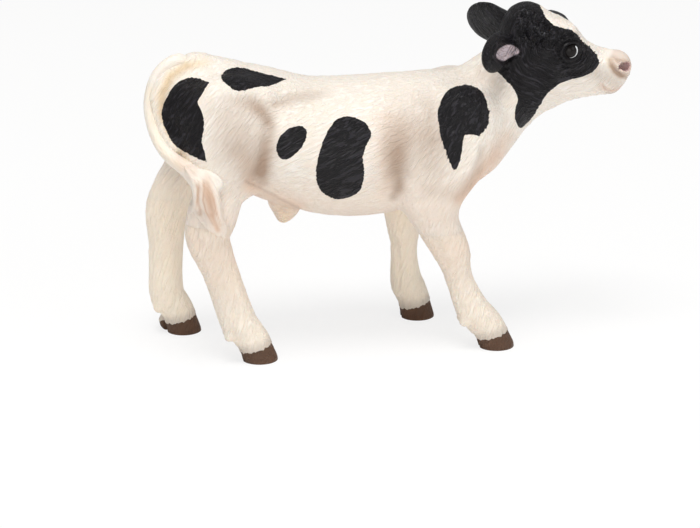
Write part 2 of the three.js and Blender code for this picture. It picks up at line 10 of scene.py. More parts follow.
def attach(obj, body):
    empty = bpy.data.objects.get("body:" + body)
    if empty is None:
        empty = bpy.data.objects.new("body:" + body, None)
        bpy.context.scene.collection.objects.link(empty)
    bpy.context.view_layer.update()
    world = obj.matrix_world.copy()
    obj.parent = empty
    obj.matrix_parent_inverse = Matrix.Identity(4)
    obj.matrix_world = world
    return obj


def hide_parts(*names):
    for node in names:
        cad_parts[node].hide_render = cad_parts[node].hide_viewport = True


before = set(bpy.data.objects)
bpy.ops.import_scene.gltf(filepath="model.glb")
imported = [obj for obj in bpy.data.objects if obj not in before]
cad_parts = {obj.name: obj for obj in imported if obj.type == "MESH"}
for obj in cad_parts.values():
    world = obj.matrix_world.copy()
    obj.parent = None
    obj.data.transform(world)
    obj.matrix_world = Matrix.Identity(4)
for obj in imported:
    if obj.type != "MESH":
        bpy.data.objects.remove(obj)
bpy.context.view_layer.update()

MM = 0.001
FRAME_SHIFT = np.array([-0.021, 0.511, 0.0])  # from the sculpt's own middle to the frame's

# Camera
AZIMUTH = math.radians(-9.5)
ELEVATION = math.radians(19.5)
DISTANCE = 480
FOCAL = 2640  # in pixels of the photograph
PHOTO_WIDTH = 700
PHOTO_HEIGHT = 528
PIXELS_PER_MM = 5.5
PIXEL = 1 / PIXELS_PER_MM
AIM_RIGHT = -39 / PIXELS_PER_MM
AIM_UP = 71 / PIXELS_PER_MM

RIGHT = np.array([math.cos(AZIMUTH), math.sin(AZIMUTH), 0.0])
BACK = np.array([
    math.sin(AZIMUTH) * math.cos(ELEVATION),
    -math.cos(AZIMUTH) * math.cos(ELEVATION),
    math.sin(ELEVATION),
])
UP = np.cross(BACK, RIGHT)
AIM = RIGHT * AIM_RIGHT + UP * AIM_UP
EYE = AIM + BACK * DISTANCE


def seen_at(points):
    """Where the camera sees points of the frame, in pixels of the photograph"""
    offset = points - EYE
    depth = -(offset @ BACK)
    across = PHOTO_WIDTH / 2 + FOCAL * (offset @ RIGHT) / depth
    down = PHOTO_HEIGHT / 2 - FOCAL * (offset @ UP) / depth
    return np.stack([across, down], axis=1)


# Sculpt: sizes as in the CAD model, with a leaner nape and tuft
TORSO_REAR = -37.4
TORSO_LENGTH = 52
BACK_HEIGHT = 49.6
TORSO_DEPTH = 25
TORSO_WIDTH = 24.8
MUSCLE_BLEND = 2.6
TORSO_SHARES = [
    (0.0, 0.925, 0.46, 0.4),
    (0.1, 0.87, 0.74, 0.66),
    (0.22, 0.828, 0.86, 0.86),
    (0.4, 0.757, 0.93, 0.97),
    (0.58, 0.73, 1.0, 1.0),
    (0.76, 0.742, 0.97, 0.96),
    (0.9, 0.765, 0.88, 0.84),
    (1.0, 0.79, 0.62, 0.58),
]
NECK_ROOT = (13.2, 39.1)
NECK_ROOT_SIZE = (17.6, 15.5)
NECK_TOP = (25.9, 49.7)
NECK_TOP_SIZE = (14.4, 11)
NECK_SEAM_SHARE = 0.65
NECK_SEAM_TILT = 0.42
POLL = (25, 54.9)
SKULL_SIZE = (10.6, 11.4)
NOSE = (40.6, 48.8)
MUZZLE_SIZE = (6, 7.8)
JAW_ROOT = (27.2, 47)
JAW_SIZE = (11, 8.6)
CHIN = (39.8, 45.8)
CHIN_SIZE = (4.2, 5.4)
TOPKNOT_X = 24.2
TOPKNOT_SIZE = (5.8, 6.6, 6.6)
TOPKNOT_SHARE = 0.21
SKULL_SHARES = [(0.0, 0.0, 1.0, 0.94), (0.3, 0.27, 0.88, 1.0), (0.62, 0.62, 0.6, 0.72)]
JAW_SHARES = [(0.0, 1.0, 1.0), (0.5, 0.62, 0.8)]
EYE_PLACE = (31.2, 4.3, 53.1)
EYE_RADIUS = 1.75
EYE_RISE = 0.42  # of the ball out of the head
CRESCENT_REACH = 0.72  # from the eye's middle, in radii
CRESCENT_WIDTH = 0.085
# Lids and the skin round an eye: radius, half a ring's width, and its rise
EYE_RINGS = [
    (0.0, 1.1, -0.5), (1.72, 0.28, 0.5), (2.2, 0.2, -0.2), (2.6, 0.22, 0.2), (3.05, 0.2, -0.14),
    (3.5, 0.25, 0.1),
]
EYE_STRETCH = (1.08, 0.94)  # of those rings, along X and up
EYE_SIDE = (2.2, 3.4)  # they fade between these distances from the middle plane
BROW = (29.4, 3.7, 56.4)
BROW_SIZE = (6.4, 3.4, 3.2)
NOSTRIL = (41.2, 2.65, 49.15)
NOSTRIL_SIZE = (3.8, 2.4, 1.7)

FEET_APART = {"fore": 17.4, "hind": 16.6}
# From shoulder or hip to fetlock: height, size, width over size, and share of the stance
LIMBS = {
    "fore": [(42.1, 11.8, 0.62, 0.76), (36.5, 12.6, 0.6, 0.9), (30, 11.6, 0.68, 1),
             (24.5, 8, 0.8, 1), (18.6, 6.5, 0.92, 1), (13.3, 4.7, 0.9, 1), (8, 5.6, 0.94, 1)],
    "hind": [(43, 16.5, 0.54, 0.74), (37.8, 15.8, 0.54, 0.92), (32, 9.2, 0.66, 1),
             (27, 8.8, 0.74, 1), (22.9, 7.6, 0.82, 1), (15.45, 6.1, 0.88, 1), (8, 6.3, 0.94, 1)],
}
CANNON, FETLOCK = 5, 6  # places in these lists
# Pastern, coronet and hoof: share of the way from fetlock to toe, then the same
FOOT = [(0.38, 5.4, 6, 1, 1), (0.67, 3.7, 5.85, 1, 1), (1, 0, 6.5, 0.94, 1)]
# Side, pair, places along X of the limb's joints, and of the toe
LEGS = {
    "right_fore_leg": (-1, "fore", (12, 10.2, 6.2, 6.9, 9.6, 11.2, 13.4), 18.2),
    "left_fore_leg": (1, "fore", (12, 9.8, 4.8, 4, 4.3, 4.47, 4.7), 7),
    "right_hind_leg": (-1, "hind", (-29, -29.7, -31.2, -32.8, -33.5, -30.95, -28.6), -24.6),
    "left_hind_leg": (1, "hind", (-30, -31.5, -34.5, -37.2, -39.1, -39.31, -39.5), -36.4),
}
DEWCLAW_SIZE = 1.5
DEWCLAW_SHARES = (0.27, 0.24, 0.48)
WEDGE_SIZES = [(1.2, 1.6), (1.6, 2.6), (2, 4)]
WEDGE_ROOT = 0.6
WEDGE_TIP = 0.35
# The cleft between two claws, in front and behind: ahead of the foot's middle, height and size
CLEFTS = [(3.2, 1.2, (4.4, 0.75, 8.4)), (-3.2, 0.6, (3.2, 0.8, 5))]
OUTER_CLAW = (-1.5, 1.5, 1.3)
OUTER_CLAW_SIZE = (6, 3.6, 4.6)
NAVEL = [(-18.6, 0, 27.4, 7, 4.4), (-18.7, 0, 25.2, 4.6, 3.6), (-19.1, 0, 23.9, 2.8, 2.8)]
SEAM_HEIGHTS = {"fore": 22.4, "hind": 26}
FLANK_X = -24.6
GIRTH_X = -8

EAR_ROOTS_APART = 8.6
EAR_SPAN = 8.4
EAR_SWEEP = 5.6
EAR_LIFT = 0.6
EAR_WIDTH = 7
EAR_THICKNESS = 2.8
EAR_HOLLOW = 1.15
EAR_SHARES = [
    (0.0, 0.62, 1.1), (0.25, 0.86, 1.0), (0.5, 1.0, 1.0), (0.75, 0.78, 0.8), (0.92, 0.3, 0.5),
]
EAR_CUP_SHARES = (0.8, 2.0, 0.7)
EAR_PLACES = {"left_ear": (22.4, 8.4), "right_ear": (19.8, 9.4)}

TAIL_THICKNESS = 2.3
TAIL_ROOT = (-34, 50.6)
TAIL_END = 26
TAIL_REACH = 8.5
TAIL_SWING = 12.4
TAIL_SHARES = [
    (0.0, 0.0, 1.0, 1.1, 1.0),
    (0.37, 0.0, 1.1, 1.1, 1.0),
    (0.8, 0.05, 1.01, 1.0, 1.0),
    (1.0, 0.14, 0.82, 0.95, 1.0),
    (0.94, 0.33, 0.63, 0.92, 1.0),
    (0.73, 0.6, 0.51, 1.0, 1.0),
    (0.38, 0.83, 0.43, 1.2, 0.85),
    (0.08, 0.95, 0.33, 1.5, 0.7),
    (-0.07, 1.0, 0.23, 1.4, 0.68),
    (-0.18, 0.97, 0.1, 1.1, 0.68),
    (-0.26, 0.9, 0.0, 0.6, 0.8),
]
WEB_ROOT = [
    (-28.5, 0, 50.6, 3.2, 4.4), (-31.5, 0, 51.9, 3.2, 4.2), (-34.4, 0, 52.7, 3.2, 3.8),
]
WEB_MIDDLE = (-33.5, 0, 45)
WEB_PULL = 0.16  # share of the way from the tail to that place
WEB_GROWTH = (1.05, 1.2)

# How softly forms run into each other, in millimetres
CLAW_BLEND = 0.8
CLEFT_BLEND = 0.3
BROW_BLEND = 2.2
NOSTRIL_BLEND = 0.35
WEB_BLEND = 2.4
TUFT_BLEND = 1.2
STRAND_BLEND = 0.3
EAR_BLEND = 0.5
HIDDEN_END = 0.6  # how far the tail and the ears reach under the skin


def between(start, end, share):
    return start + share * (end - start)


def station(x, y, z, depth, width):
    return (x, y, z, depth / 2, width / 2)


def spline(a, b, c, d, t):
    """A place between b and c on a smooth curve through all four"""
    bend = a - 2.5 * b + 2 * c - 0.5 * d
    twist = 1.5 * (b - c) + 0.5 * (d - a)
    return b + t * (0.5 * (c - a) + t * (bend + t * twist))


def smooth_stations(stations, steps=4):
    """Stations of a smooth curve through the given ones, with the same steps in each stretch"""
    rows = np.array(stations, dtype=float)
    last = len(rows) - 1
    smooth = []
    for i in range(last):
        around = [rows[min(max(i + k, 0), last)] for k in (-1, 0, 1, 2)]
        smooth += [spline(*around, s / steps) for s in range(steps)]
    return np.array(smooth + [rows[last]])


def round_distance(dx, dy, dz, radius_x, radius_y, radius_z):
    """Distance to an ellipsoid's surface, close to exact near the surface"""
    x, y, z = dx / radius_x, dy / radius_y, dz / radius_z
    outer = np.sqrt(x * x + y * y + z * z)
    slope = np.sqrt((x / radius_x) ** 2 + (y / radius_y) ** 2 + (z / radius_z) ** 2)
    return outer * (outer - 1) / np.maximum(slope, 1e-9)


def sweep(stations, steps=4):
    """Distance to a limb swept through stations, whose sections are ellipses"""
    rows = smooth_stations(stations, steps)
    thickest = rows[:, 3:].max()
    low, high = rows[:, :3].min(0) - thickest, rows[:, :3].max(0) + thickest

    def field(points):
        result = np.maximum(low - points, points - high).max(1)
        near = result <= MUSCLE_BLEND
        held = points[near]
        nearest = np.full(len(held), np.inf)
        for start, end in zip(rows, rows[1:]):
            along = end[:3] - start[:3]
            offset = held - start[:3]
            t = np.clip(offset @ along / (along @ along), 0, 1)
            depth = start[3] + t * (end[3] - start[3])
            width = start[4] + t * (end[4] - start[4])
            side_x, side_y, side_z = (offset[:, k] - t * along[k] for k in range(3))
            found = round_distance(side_x, side_y, side_z, depth, width, depth)
            nearest = np.minimum(nearest, found)
        result[near] = nearest
        return result

    return field


def mass(centre, size):
    centre, radii = np.array(centre, dtype=float), np.array(size, dtype=float) / 2

    def field(points):
        offset = points - centre
        return round_distance(offset[:, 0], offset[:, 1], offset[:, 2], *radii)

    return field


def soft_union(a, b, softness):
    overlap = np.maximum(softness - np.abs(a - b), 0)
    return np.minimum(a, b) - overlap * overlap / softness / 4


def soft_cut(a, b, softness):
    """What is left of a field when another is taken out of it"""
    return -soft_union(-a, b, softness)


def blended(fields, softness):
    def field(points):
        result = fields[0](points)
        for other in fields[1:]:
            result = soft_union(result, other(points), softness)
        return result

    return field


def joint(side, pair, x, height, size, width, stance):
    y = side * stance * FEET_APART[pair] / 2
    return station(x, y, height, size, size * width)


def leg_stations(side, pair, places, toe):
    limb = [joint(side, pair, x, *row) for x, row in zip(places, LIMBS[pair])]
    foot = [joint(side, pair, between(places[-1], toe, share), *row) for share, *row in FOOT]
    return limb + foot


LEG_STATIONS = {name: leg_stations(*leg) for name, leg in LEGS.items()}

torso_stations = [
    station(TORSO_REAR + x * TORSO_LENGTH, 0, z * BACK_HEIGHT, d * TORSO_DEPTH, w * TORSO_WIDTH)
    for x, z, d, w in TORSO_SHARES
]
neck_stations = [
    station(NECK_ROOT[0], 0, NECK_ROOT[1], *NECK_ROOT_SIZE),
    station(NECK_TOP[0], 0, NECK_TOP[1], *NECK_TOP_SIZE),
]
skull_stations = [
    station(between(POLL[0], NOSE[0], x), 0, between(POLL[1], NOSE[1], z),
            d * SKULL_SIZE[0], w * SKULL_SIZE[1])
    for x, z, d, w in SKULL_SHARES
] + [station(NOSE[0], 0, NOSE[1], *MUZZLE_SIZE)]
jaw_stations = [
    station(between(JAW_ROOT[0], CHIN[0], x), 0, between(JAW_ROOT[1], CHIN[1], x),
            d * JAW_SIZE[0], w * JAW_SIZE[1])
    for x, d, w in JAW_SHARES
] + [station(CHIN[0], 0, CHIN[1], *CHIN_SIZE)]

muscles = blended([
    sweep(torso_stations),
    sweep(neck_stations),
    sweep(skull_stations),
    sweep(jaw_stations),
    mass((TOPKNOT_X, 0, POLL[1] + TOPKNOT_SHARE * SKULL_SIZE[0]), TOPKNOT_SIZE),
    *(sweep(stations) for stations in LEG_STATIONS.values()),
], MUSCLE_BLEND)


def dewclaws(stations):
    """The middle between a foot's dewclaws, and how far to the side each one is"""
    x, y, z, half_size = stations[FETLOCK][:4]
    behind, beside, below = (2 * share * half_size for share in DEWCLAW_SHARES)
    return x - behind, y, z - below, beside


def dewclaw_masses():
    masses = []
    for stations in LEG_STATIONS.values():
        x, y, z, beside = dewclaws(stations)
        for side in (-1, 1):
            masses.append(mass((x, y + side * beside, z), (DEWCLAW_SIZE,) * 3))
    return masses


navel = sweep([station(*row) for row in NAVEL])
body = blended([muscles, navel, *dewclaw_masses()], DEWCLAW_SIZE / 2)


# Skins
COARSE = 4  # cells along a side of a coarse cell
NEAR_SKIN = 1.9  # coarse cells from the skin, within which the fine cells are worked out


def spread(field, points, chunk=16384):
    """Values of a field at many points, worked out in chunks side by side"""
    parts = [points[i:i + chunk] for i in range(0, len(points), chunk)]
    with ThreadPoolExecutor(4) as pool:
        return np.concatenate(list(pool.map(field, parts)))


def gradient(field, points, value, probe=0.02):
    slopes = [
        (spread(field, points + probe * np.eye(3)[axis]) - value) / probe for axis in range(3)
    ]
    return np.stack(slopes, axis=1)


def settled(field, points):
    """Points moved onto the zero level of a field"""
    value = spread(field, points)
    slope = gradient(field, points, value)
    length = np.maximum((slope * slope).sum(1), 0.25)
    return points - slope * (value / length)[:, None]


def skin(field, low, high, cell, rounds=4):
    """Points and quads of the surface where a field is zero"""
    coarse = COARSE * cell
    low = np.array(low, dtype=float)
    counts = np.ceil((np.array(high) - low) / coarse).astype(int) + 1
    nodes = np.indices(counts).reshape(3, -1).T
    rough = spread(field, low + nodes * coarse).reshape(counts)
    values = rough
    for axis in range(3):
        values = values.repeat(COARSE, axis)
    near = np.abs(values) < NEAR_SKIN * coarse
    band = np.argwhere(near)
    values[near] = spread(field, low + band * cell)
    inside = values < 0

    crossed = np.zeros(np.array(inside.shape) - 1, dtype=int)
    for dx in (0, 1):
        for dy in (0, 1):
            for dz in (0, 1):
                part = inside[dx:, dy:, dz:]
                crossed += part[:crossed.shape[0], :crossed.shape[1], :crossed.shape[2]]
    active = (crossed > 0) & (crossed < 8)
    number = np.full(active.shape, -1)
    number[active] = np.arange(active.sum())
    points = low + (np.argwhere(active) + 0.5) * cell

    quads = []
    for axis in range(3):
        lower = np.moveaxis(inside, axis, 0)
        cells = np.moveaxis(number, axis, 0)
        flips = lower[:-1] != lower[1:]
        i, j, k = np.nonzero(flips[:, 1:-1, 1:-1])
        j, k = j + 1, k + 1
        ring = np.stack([
            cells[i, j - 1, k - 1], cells[i, j, k - 1], cells[i, j, k], cells[i, j - 1, k],
        ], axis=1)
        outward = lower[i, j, k]
        if axis == 1:
            outward = ~outward
        ring[~outward] = ring[~outward][:, ::-1]
        quads.append(ring)
    quads = np.concatenate(quads)
    for _ in range(rounds):
        points = settled(field, evened(points, quads))
    return settled(field, points), quads


def evened(points, quads):
    """Points moved halfway to the middle of their neighbours"""
    ends = np.concatenate([quads[:, [k, (k + 1) % 4]] for k in range(4)])
    ends = np.concatenate([ends, ends[:, ::-1]])
    count = np.bincount(ends[:, 0], minlength=len(points))
    sums = [
        np.bincount(ends[:, 0], weights=points[ends[:, 1], axis], minlength=len(points))
        for axis in range(3)
    ]
    return (points + np.stack(sums, axis=1) / np.maximum(count, 1)[:, None]) / 2


def facing(field, points):
    slope = gradient(field, points, spread(field, points))
    return slope / np.maximum(np.linalg.norm(slope, axis=1), 1e-9)[:, None]


def quad_mesh(name, points, quads):
    """A mesh in metres, from points in the sculpt's millimetres"""
    mesh = bpy.data.meshes.new(name)
    mesh.vertices.add(len(points))
    mesh.vertices.foreach_set("co", ((points + FRAME_SHIFT) * MM).ravel())
    mesh.loops.add(4 * len(quads))
    mesh.loops.foreach_set("vertex_index", quads.ravel())
    mesh.polygons.add(len(quads))
    mesh.polygons.foreach_set("loop_start", np.arange(0, 4 * len(quads), 4))
    mesh.update(calc_edges=True)
    return mesh


# Feet: two claws each, with a tuft behind the fetlock. The far hind foot is turned, so that its
# outer claw stands behind the inner one.
feet = [stations[-1][:2] for stations in LEG_STATIONS.values()]
clefts = [
    mass((x + ahead, y, height), size) for x, y in feet for ahead, height, size in CLEFTS
]
outer_claw = mass(
    np.array([*LEG_STATIONS["left_hind_leg"][-1][:2], 0]) + OUTER_CLAW, OUTER_CLAW_SIZE)


def wedge(stations):
    """The tuft behind a fetlock, which runs straight down to the dewclaws"""
    x, y, z, depth = stations[CANNON][:4]
    x = x - depth + WEDGE_ROOT
    tip_x, _, tip_z, _ = dewclaws(stations)
    return sweep([
        station(between(x, tip_x + WEDGE_TIP, share), y, between(z, tip_z + WEDGE_TIP, share),
                *size)
        for share, size in zip((0, 0.5, 1), WEDGE_SIZES)
    ])


wedges = [wedge(stations) for stations in LEG_STATIONS.values()]


def feet_field(points):
    result = body(points)
    for form in (outer_claw, *wedges):
        result = soft_union(result, form(points), CLAW_BLEND)
    for cleft in clefts:
        result = soft_cut(result, cleft(points), CLEFT_BLEND)
    return result


# Head
def halved(points):
    """The same points, with the right half moved to the left one"""
    return np.abs(points) * (0, 1, 0) + points * (1, 0, 1)


def nostril_distance(points):
    return mass(NOSTRIL, NOSTRIL_SIZE)(halved(points))


def head_field(points):
    result = soft_union(body(points), mass(BROW, BROW_SIZE)(halved(points)), BROW_BLEND)
    return soft_cut(result, nostril_distance(points), NOSTRIL_BLEND)


# Tail, and the web over its root
tail_stations = [
    station(TAIL_ROOT[0] - back * TAIL_REACH, -across * TAIL_SWING,
            between(TAIL_END, TAIL_ROOT[1], up), thick * TAIL_THICKNESS,
            thick * flat * TAIL_THICKNESS)
    for back, across, up, thick, flat in TAIL_SHARES
]
tail_core = sweep(tail_stations)


def web_field():
    """The rump's swelling over the tail's root, and the web in the fold beside the tail"""
    rows = [station(*row) for row in WEB_ROOT]
    for x, y, z, depth, width in tail_stations[1:6]:
        place = between(np.array([x, y, z]), np.array(WEB_MIDDLE), WEB_PULL)
        rows.append((*place, WEB_GROWTH[0] * depth, WEB_GROWTH[1] * width))
    return sweep(rows)


tail_web = web_field()


def torso_field(points):
    return soft_union(body(points), tail_web(points), WEB_BLEND)


# Strands of the tuft, in pixels of the photograph, with a thickness in millimetres
STRANDS = [
    ([(186, 168), (191, 176), (195, 184), (196, 194), (195, 204), (192, 213)], 0.95),
    ([(192, 169), (198, 178), (201.5, 188), (200, 200), (202, 211), (208, 221), (218, 235)], 1.0),
    ([(198, 171), (208, 174), (216, 178), (221, 184), (219, 190)], 1.1),
    ([(206, 178), (212, 187), (216, 197), (218, 208), (220, 218), (225, 228), (224, 237)], 1.0),
    ([(194, 202), (196, 212), (201, 219), (207, 226), (212, 231)], 0.8),
]
TUFT_FILLING = [
    ([(193, 172), (197, 184), (199, 196), (200, 207), (204, 216), (211, 227)], 2.1),
    ([(202, 175), (206, 186), (209, 198), (212, 210), (216, 222), (221, 232)], 2.3),
    ([(208, 175), (213, 180), (216, 187)], 1.9),
]
STRAND_RISE = 0.34  # out of the tail's skin, in thicknesses
FILLING_RISE = -0.16
STRAND_TIP = 0.35  # its least thickness
RAY_START = DISTANCE - 70
RAY_STEP = 0.7


def struck(field, pixels, rounds=80):
    """Where rays of the camera through pixels of the photograph meet a field"""
    across = (np.array(pixels, dtype=float)[:, :1] - PHOTO_WIDTH / 2) / FOCAL
    down = (np.array(pixels, dtype=float)[:, 1:] - PHOTO_HEIGHT / 2) / FOCAL
    ray = RIGHT * across - UP * down - BACK
    ray /= np.linalg.norm(ray, axis=1)[:, None]
    points = EYE - FRAME_SHIFT + ray * RAY_START
    for _ in range(rounds):
        points = points + ray * (RAY_STEP * field(points))[:, None]
    return points


def strand_field(pixels, thickness, rise):
    places = struck(lambda p: np.minimum(body(p), tail_core(p)), pixels)
    places = places + BACK * (rise * thickness)
    count = len(places)
    swell = [math.sin(math.pi * (i + 0.6) / (count + 0.2)) ** 0.7 for i in range(count)]
    sizes = [thickness * between(STRAND_TIP, 1, share) for share in swell]
    return sweep([station(*place, size, size) for place, size in zip(places, sizes)], 5)


tuft_core = blended([tail_core, *(strand_field(*row, FILLING_RISE) for row in TUFT_FILLING)],
                    TUFT_BLEND)
tail_whole = blended([tuft_core, *(strand_field(*row, STRAND_RISE) for row in STRANDS)],
                     STRAND_BLEND)


def tail_field(points):
    """The tail, which ends just under the skin of the rump and the thigh"""
    return np.maximum(tail_whole(points), -body(points) - HIDDEN_END)


# Ears
ear_axis = np.array([-EAR_SWEEP, EAR_SPAN, EAR_LIFT])
ear_length = np.linalg.norm(ear_axis)
ear_along = ear_axis / ear_length
ear_face = np.array([EAR_SPAN, EAR_SWEEP, 0]) / math.hypot(EAR_SPAN, EAR_SWEEP)
ear_across = np.cross(ear_face, ear_along)
ear_leaf = sweep([
    station(x * ear_length, 0, 0, width * EAR_WIDTH, thick * EAR_THICKNESS)
    for x, width, thick in EAR_SHARES
], 6)
cup_length, cup_thickness, cup_width = EAR_CUP_SHARES
ear_cup = mass(
    (ear_length / 2, (EAR_THICKNESS + cup_thickness * EAR_THICKNESS) / 2 - EAR_HOLLOW, 0),
    (cup_length * ear_length, cup_thickness * EAR_THICKNESS, cup_width * EAR_WIDTH))


def neck_line(x):
    share = (x - NECK_ROOT[0]) / (NECK_TOP[0] - NECK_ROOT[0])
    return between(NECK_ROOT[1], NECK_TOP[1], share)


def ear_places(points, name):
    """Places on an ear: along it, out of its face and across it. The right one is mirrored."""
    x, rise = EAR_PLACES[name]
    root = np.array([x, EAR_ROOTS_APART / 2, neck_line(x) + rise])
    offset = points * (1, 1 if name == "left_ear" else -1, 1) - root
    return np.stack([offset @ ear_along, offset @ ear_face, offset @ ear_across], axis=1)


def ear_pixels(points):
    """Pixels of points by the right ear, and of points by the left ear moved to the right one"""
    left_x, left_rise = EAR_PLACES["left_ear"]
    right_x, right_rise = EAR_PLACES["right_ear"]
    back = left_x - right_x
    fall = neck_line(left_x) + left_rise - neck_line(right_x) - right_rise
    moved = points * (1, -1, 1) - (back, 0, fall)
    return seen_at(np.where(points[:, 1:2] > 0, moved, points) + FRAME_SHIFT)


def ear_field(name):
    def field(points):
        local = ear_places(points, name)
        leaf = soft_cut(ear_leaf(local), ear_cup(local), EAR_BLEND)
        return np.maximum(leaf, -body(points) - HIDDEN_END)

    return field


# Outlines and lines that the photograph shows, in its pixels. A corner that is given twice
# stays sharp.
RUMP_PATCH = [
    (209, 82.5), (209, 82.5), (192.5, 77.4), (175, 85), (162, 110), (166, 130), (178.5, 148),
    (207.5, 163), (207.5, 163), (201.5, 141.5), (201.5, 141.5), (204, 120), (197.6, 102),
    (197.6, 102),
]
CROUP_PATCH = [
    (221, 77), (227, 70), (239.7, 67.5), (262, 73), (286.9, 79), (286.9, 79), (269, 86),
    (261, 86), (261, 86), (238.4, 91), (227, 84.4),
]
FLANK_SPOT = [
    (276.4, 147), (280, 137), (287, 130), (296, 126), (303.5, 127), (306.7, 132), (306, 139),
    (302, 146.5), (296, 154), (288, 159), (281.5, 158.5), (277.5, 154),
]
FLANK_PATCH = [
    (349, 116.4), (364, 122), (371, 134), (365, 149), (362.7, 157.5), (364, 172),
    (359.5, 191), (339, 199.3), (321, 191), (316, 172), (320.6, 149), (328.7, 129.6),
    (337.5, 119),
]
SHOULDER_PATCH = [
    (438, 116), (439.5, 105), (444, 95.5), (450, 89), (460, 85.3), (470, 85.2), (480, 90),
    (486, 100), (489.3, 112), (488.6, 122), (485, 131), (481, 136), (481, 136), (475, 135),
    (468, 134.5), (464, 136), (464, 136), (462.5, 147.5), (460, 160), (455.5, 172),
    (455.5, 172), (450, 163), (445, 150), (441, 137.5),
]
HEAD_PATCH = [
    (500, -30), (523, -20), (540, 6), (544, 14), (546, 18), (546, 18), (556, 26), (573, 31),
    (583, 41.5), (594, 51), (599, 60), (596, 68), (586, 75.5), (563, 82), (548, 93),
    (539.5, 106), (531, 119), (520.4, 128), (514.6, 116), (517.6, 99.5), (513, 88), (501, 75),
    (485, 50),
]
EAR_LINING = [
    (496.3, 54), (498.8, 49.4), (505, 45.6), (510.6, 45), (515, 46.9), (518.8, 50),
    (518.8, 53), (515, 55), (508.8, 58), (503.8, 60.6), (498.8, 59.4), (496.5, 57),
]
EAR_LINES = [
    [(511, 45.5), (506.5, 54)], [(513, 47), (508.5, 54)], [(516, 49), (511, 54)],
    [(503, 57), (506, 55.5)],
]
FAR_BROW = [(550, 6), (562, 8), (576, 18), (582, 32), (580, 45), (556, 34), (546, 18)]
NOSE_PAD = [
    (612, 52), (619, 48), (629, 50), (640, 58), (640, 76), (628, 76), (619, 73), (612, 64),
]

RIGHT_PATCHES = (RUMP_PATCH, CROUP_PATCH, FLANK_SPOT, FLANK_PATCH, SHOULDER_PATCH)

# The left side isn't seen, apart from a fleck on the buttock: its patches are a calf's usual
# ones, as places along X and up in millimetres
LEFT_PATCHES = [
    [(-46, 45), (-38, 46.5), (-33, 45), (-31, 40), (-33, 35.5), (-37, 33.6), (-41.5, 33.6),
     (-46, 38)],
    [(-15, 45), (-4, 46.5), (3, 44.5), (3, 40), (-3, 35.5), (-9, 36.5), (-16, 39.5)],
    [(-24, 40), (-20, 41.5), (-18, 38), (-19.5, 34), (-23.5, 34.5)],
    [(7, 37), (10, 41), (15, 40), (16, 34), (12, 30), (8, 31.5)],
]

# Folds, ridges and creases: a line, half its width in pixels, and its rise in millimetres
TORSO_FOLDS = [
    ([(264, 112), (269, 122), (268, 140), (265, 158), (260, 176), (254, 184)],
     [6, 8, 8, 7, 6, 4], [-0.15, -0.35, -0.5, -0.5, -0.4, -0.1]),
    ([(250, 115), (252, 140), (249, 165)], 10, [0.1, 0.25, 0.25]),
    ([(283, 120), (285, 150), (278, 176)], 8, 0.12),
    ([(222, 93), (246, 90), (268, 92)], 6, 0.3),
    ([(226, 103), (250, 101), (268, 106), (273, 118)], 5, [-0.08, -0.25, -0.25, -0.1]),
    ([(277, 103), (290, 98), (312, 94), (326, 91)], 5, [-0.3, -0.3, -0.22, -0.1]),
    ([(292, 110), (310, 106), (332, 104)], 8, 0.2),
    ([(404, 108), (400, 130), (396, 155), (396, 172)], [15, 16, 14, 11],
     [-0.08, -0.26, -0.36, -0.3]),
    ([(400, 176), (399, 187), (394, 197)], [4, 4.5, 4], [-0.02, -0.16, -0.3]),
    ([(376, 120), (374, 165)], 12, 0.12),
    ([(424, 120), (420, 160), (418, 186)], 12, 0.25),
    ([(436, 84), (430, 100), (424, 116)], 8, 0.15),
    ([(475, 135), (476, 152), (470, 168), (456, 182)], 4, [0.1, 0.3, 0.3, 0.15]),
    ([(482, 150), (479, 168), (470, 182), (456, 197)], 4, [-0.15, -0.32, -0.32, -0.2]),
    ([(246, 181), (262, 189), (282, 199), (300, 209)], 1.6, -0.2),
    ([(252, 178), (270, 188), (290, 199), (306, 207)], 1.5, -0.16),
    ([(249, 179.5), (266, 188.5), (286, 199), (303, 208)], 1.6, 0.12),
    ([(200, 62), (184, 66), (171, 76), (163, 92), (161, 112)], 5,
     [-0.05, -0.2, -0.25, -0.25, -0.1]),
]
LIPS = [(602, 85), (605, 89.4), (611, 90.8), (617, 89.8), (622, 86.5)]
DRY_EDGE = [(588, 44), (600, 56), (600, 66)]
DASHED_EDGES = [[(489, 110), (482, 135)], [(443, 146), (450, 163)]]
HEAD_FOLDS = [
    (LIPS, 1, [-0.06, -0.16, -0.18, -0.16, -0.06]),
    ([(604, 84), (607, 88), (612, 89.6), (617, 88.6)], 1.4, 0.12),
    ([(606, 95), (616, 95)], 3, 0.1),
    ([(614, 58.5), (615.3, 63), (617.5, 67.5), (621.5, 72), (626, 74), (631, 73.6)], 1.5,
     [0.34, 0.34, 0.34, 0.34, 0.2, 0.04]),
    ([(611.6, 60), (612.8, 65.5), (616, 70.8), (620.5, 75), (626, 77)], 1.8,
     [-0.26, -0.26, -0.26, -0.2, -0.04]),
    ([(617, 58.5), (619.5, 61.5), (622, 63)], 2, [-0.1, -0.4, -0.3]),
    ([(521, 84), (526, 92), (536, 97), (548, 93)], 3, -0.12),
    ([(524, 60), (527, 72), (535, 84), (546, 88), (560, 82)], 1.7, -0.14),
    ([(531, 58), (534, 70), (542, 79), (554, 78)], 1.5, -0.12),
    ([(519, 66), (521, 78), (528, 90)], 1.5, -0.12),
    ([(555, 66), (563, 72), (574, 73), (585, 69)], 1.5, -0.12),
    ([(558, 60), (564, 66.5), (573, 68), (582, 65)], 1.4, -0.12),
    ([(561, 42), (568, 38), (576, 38), (581, 42)], 1.3, 0.18),
    ([(559, 38), (567, 34), (576, 34), (583, 39)], 1.3, -0.14),
]
